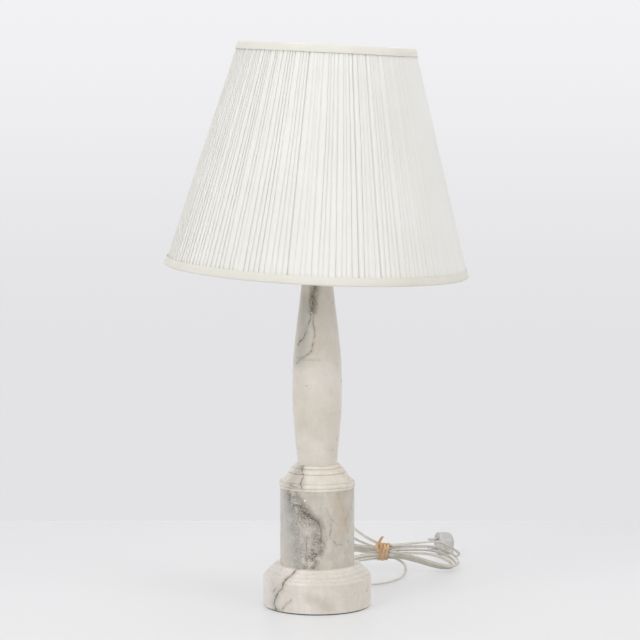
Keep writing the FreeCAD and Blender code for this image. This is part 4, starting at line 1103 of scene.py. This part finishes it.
def stage_plane(name, size, place, turn=0.0):
    nothing_selected()
    bpy.ops.mesh.primitive_plane_add(size=1.0)
    plane = bpy.context.object
    plane.name = name
    plane.scale = (*size, 1.0)
    plane.rotation_euler = (turn, 0, 0)
    plane.location = place
    bpy.ops.object.transform_apply(location=True, rotation=True, scale=True)
    return plane


def mix_shaders(tree, share, first, second):
    return wire(tree, "MixShader", {0: share, 1: first.outputs[0], 2: second.outputs[0]})


def show(tree, node, end="Material Output"):
    tree.links.new(node.outputs[0], tree.nodes[end].inputs["Surface"])


def make_floor():
    """Pale floor that keeps the lamp's shadow: part paint, part its own even tone."""
    floor = stage_plane("floor", (9.0, 5.0), (0, -1.68, 0))
    made, tree, shader, coords = new_material("floor_paint")
    give(tree, shader, Base_Color=srgb(236, 236, 236), Roughness=0.28, Specular_IOR_Level=0.35)
    glow = wire(tree, "Emission", {"Color": srgb(240, 240, 242), "Strength": 1.0})
    show(tree, mix_shaders(tree, times(tree, seen_directly(tree), 0.4), shader, glow))
    floor.data.materials.append(made)


def make_wall():
    """Backdrop with an even tone and painted light that makes it paler further up, and clear from
    behind.
    """
    wall = stage_plane("wall", (9.0, 6.0), (0, 0.82, 3.0), math.radians(90.0))
    made, tree, shader, coords = new_material("wall_paint")
    split = wire(tree, "SeparateXYZ", {0: coords["Object"]})
    # painted light: the backdrop's tone grows paler further up
    painted_light_rise = remap(tree, split.outputs["Z"], 0.35, 1.1)
    colour = blend_colour(tree, painted_light_rise, srgb(227, 227, 230), srgb(242, 242, 244))
    glow = wire(tree, "Emission", {"Color": colour, "Strength": 1.0})
    dull = wire(tree, "BsdfDiffuse", {"Color": srgb(232, 232, 234)})
    front = mix_shaders(tree, seen_directly(tree), dull, glow)
    back = wire(tree, "NewGeometry").outputs["Backfacing"]
    show(tree, mix_shaders(tree, back, front, wire(tree, "BsdfTransparent")))
    wall.data.materials.append(made)


def area_light(name, place, target, size, power):
    nothing_selected()
    bpy.ops.object.light_add(type="AREA", location=place)
    lamp = bpy.context.object
    lamp.name = name
    lamp.rotation_euler = (Vector(target) - Vector(place)).to_track_quat("-Z", "Y").to_euler()
    lamp.data.shape = "RECTANGLE"
    lamp.data.size, lamp.data.size_y = size
    lamp.data.energy = power


def make_light():
    area_light("key_left", (-2.3, -2.3, 2.1), (0, 0, 0.4), (1.6, 1.8), 39.0)
    area_light("fill_right", (2.5, -2.0, 2.0), (0, 0, 0.4), (1.6, 1.8), 28.0)
    area_light("top", (0, -0.6, 2.8), (0, 0.1, 0.2), (2.6, 2.2), 19.0)
    world = bpy.data.worlds.new("studio")
    bpy.context.scene.world = world
    world.use_nodes = True
    tree = world.node_tree
    room = tree.nodes["Background"]
    room.inputs["Color"].default_value = (1.0, 1.0, 1.0, 1.0)
    room.inputs["Strength"].default_value = 0.46
    shown = wire(tree, "Background", {"Color": srgb(240, 240, 242), "Strength": 1.0})
    show(tree, mix_shaders(tree, seen_directly(tree), room, shown), "World Output")
    bpy.context.scene.view_settings.view_transform = "Standard"


# ---- main
def main():
    make_camera()
    plug_pieces = make_plug()
    tie_pieces = make_tie()
    make_flex()
    make_pleated_cloth()
    make_tape("bottom_tape", "bottom_trim", shade_bottom_z, bottom_tape_height, 1.0)
    make_tape("top_tape", "top_trim", shade_bottom_z + shade_height, top_tape_height, -1.0)
    dress_nodes()
    make_floor()
    make_wall()
    make_light()


main()
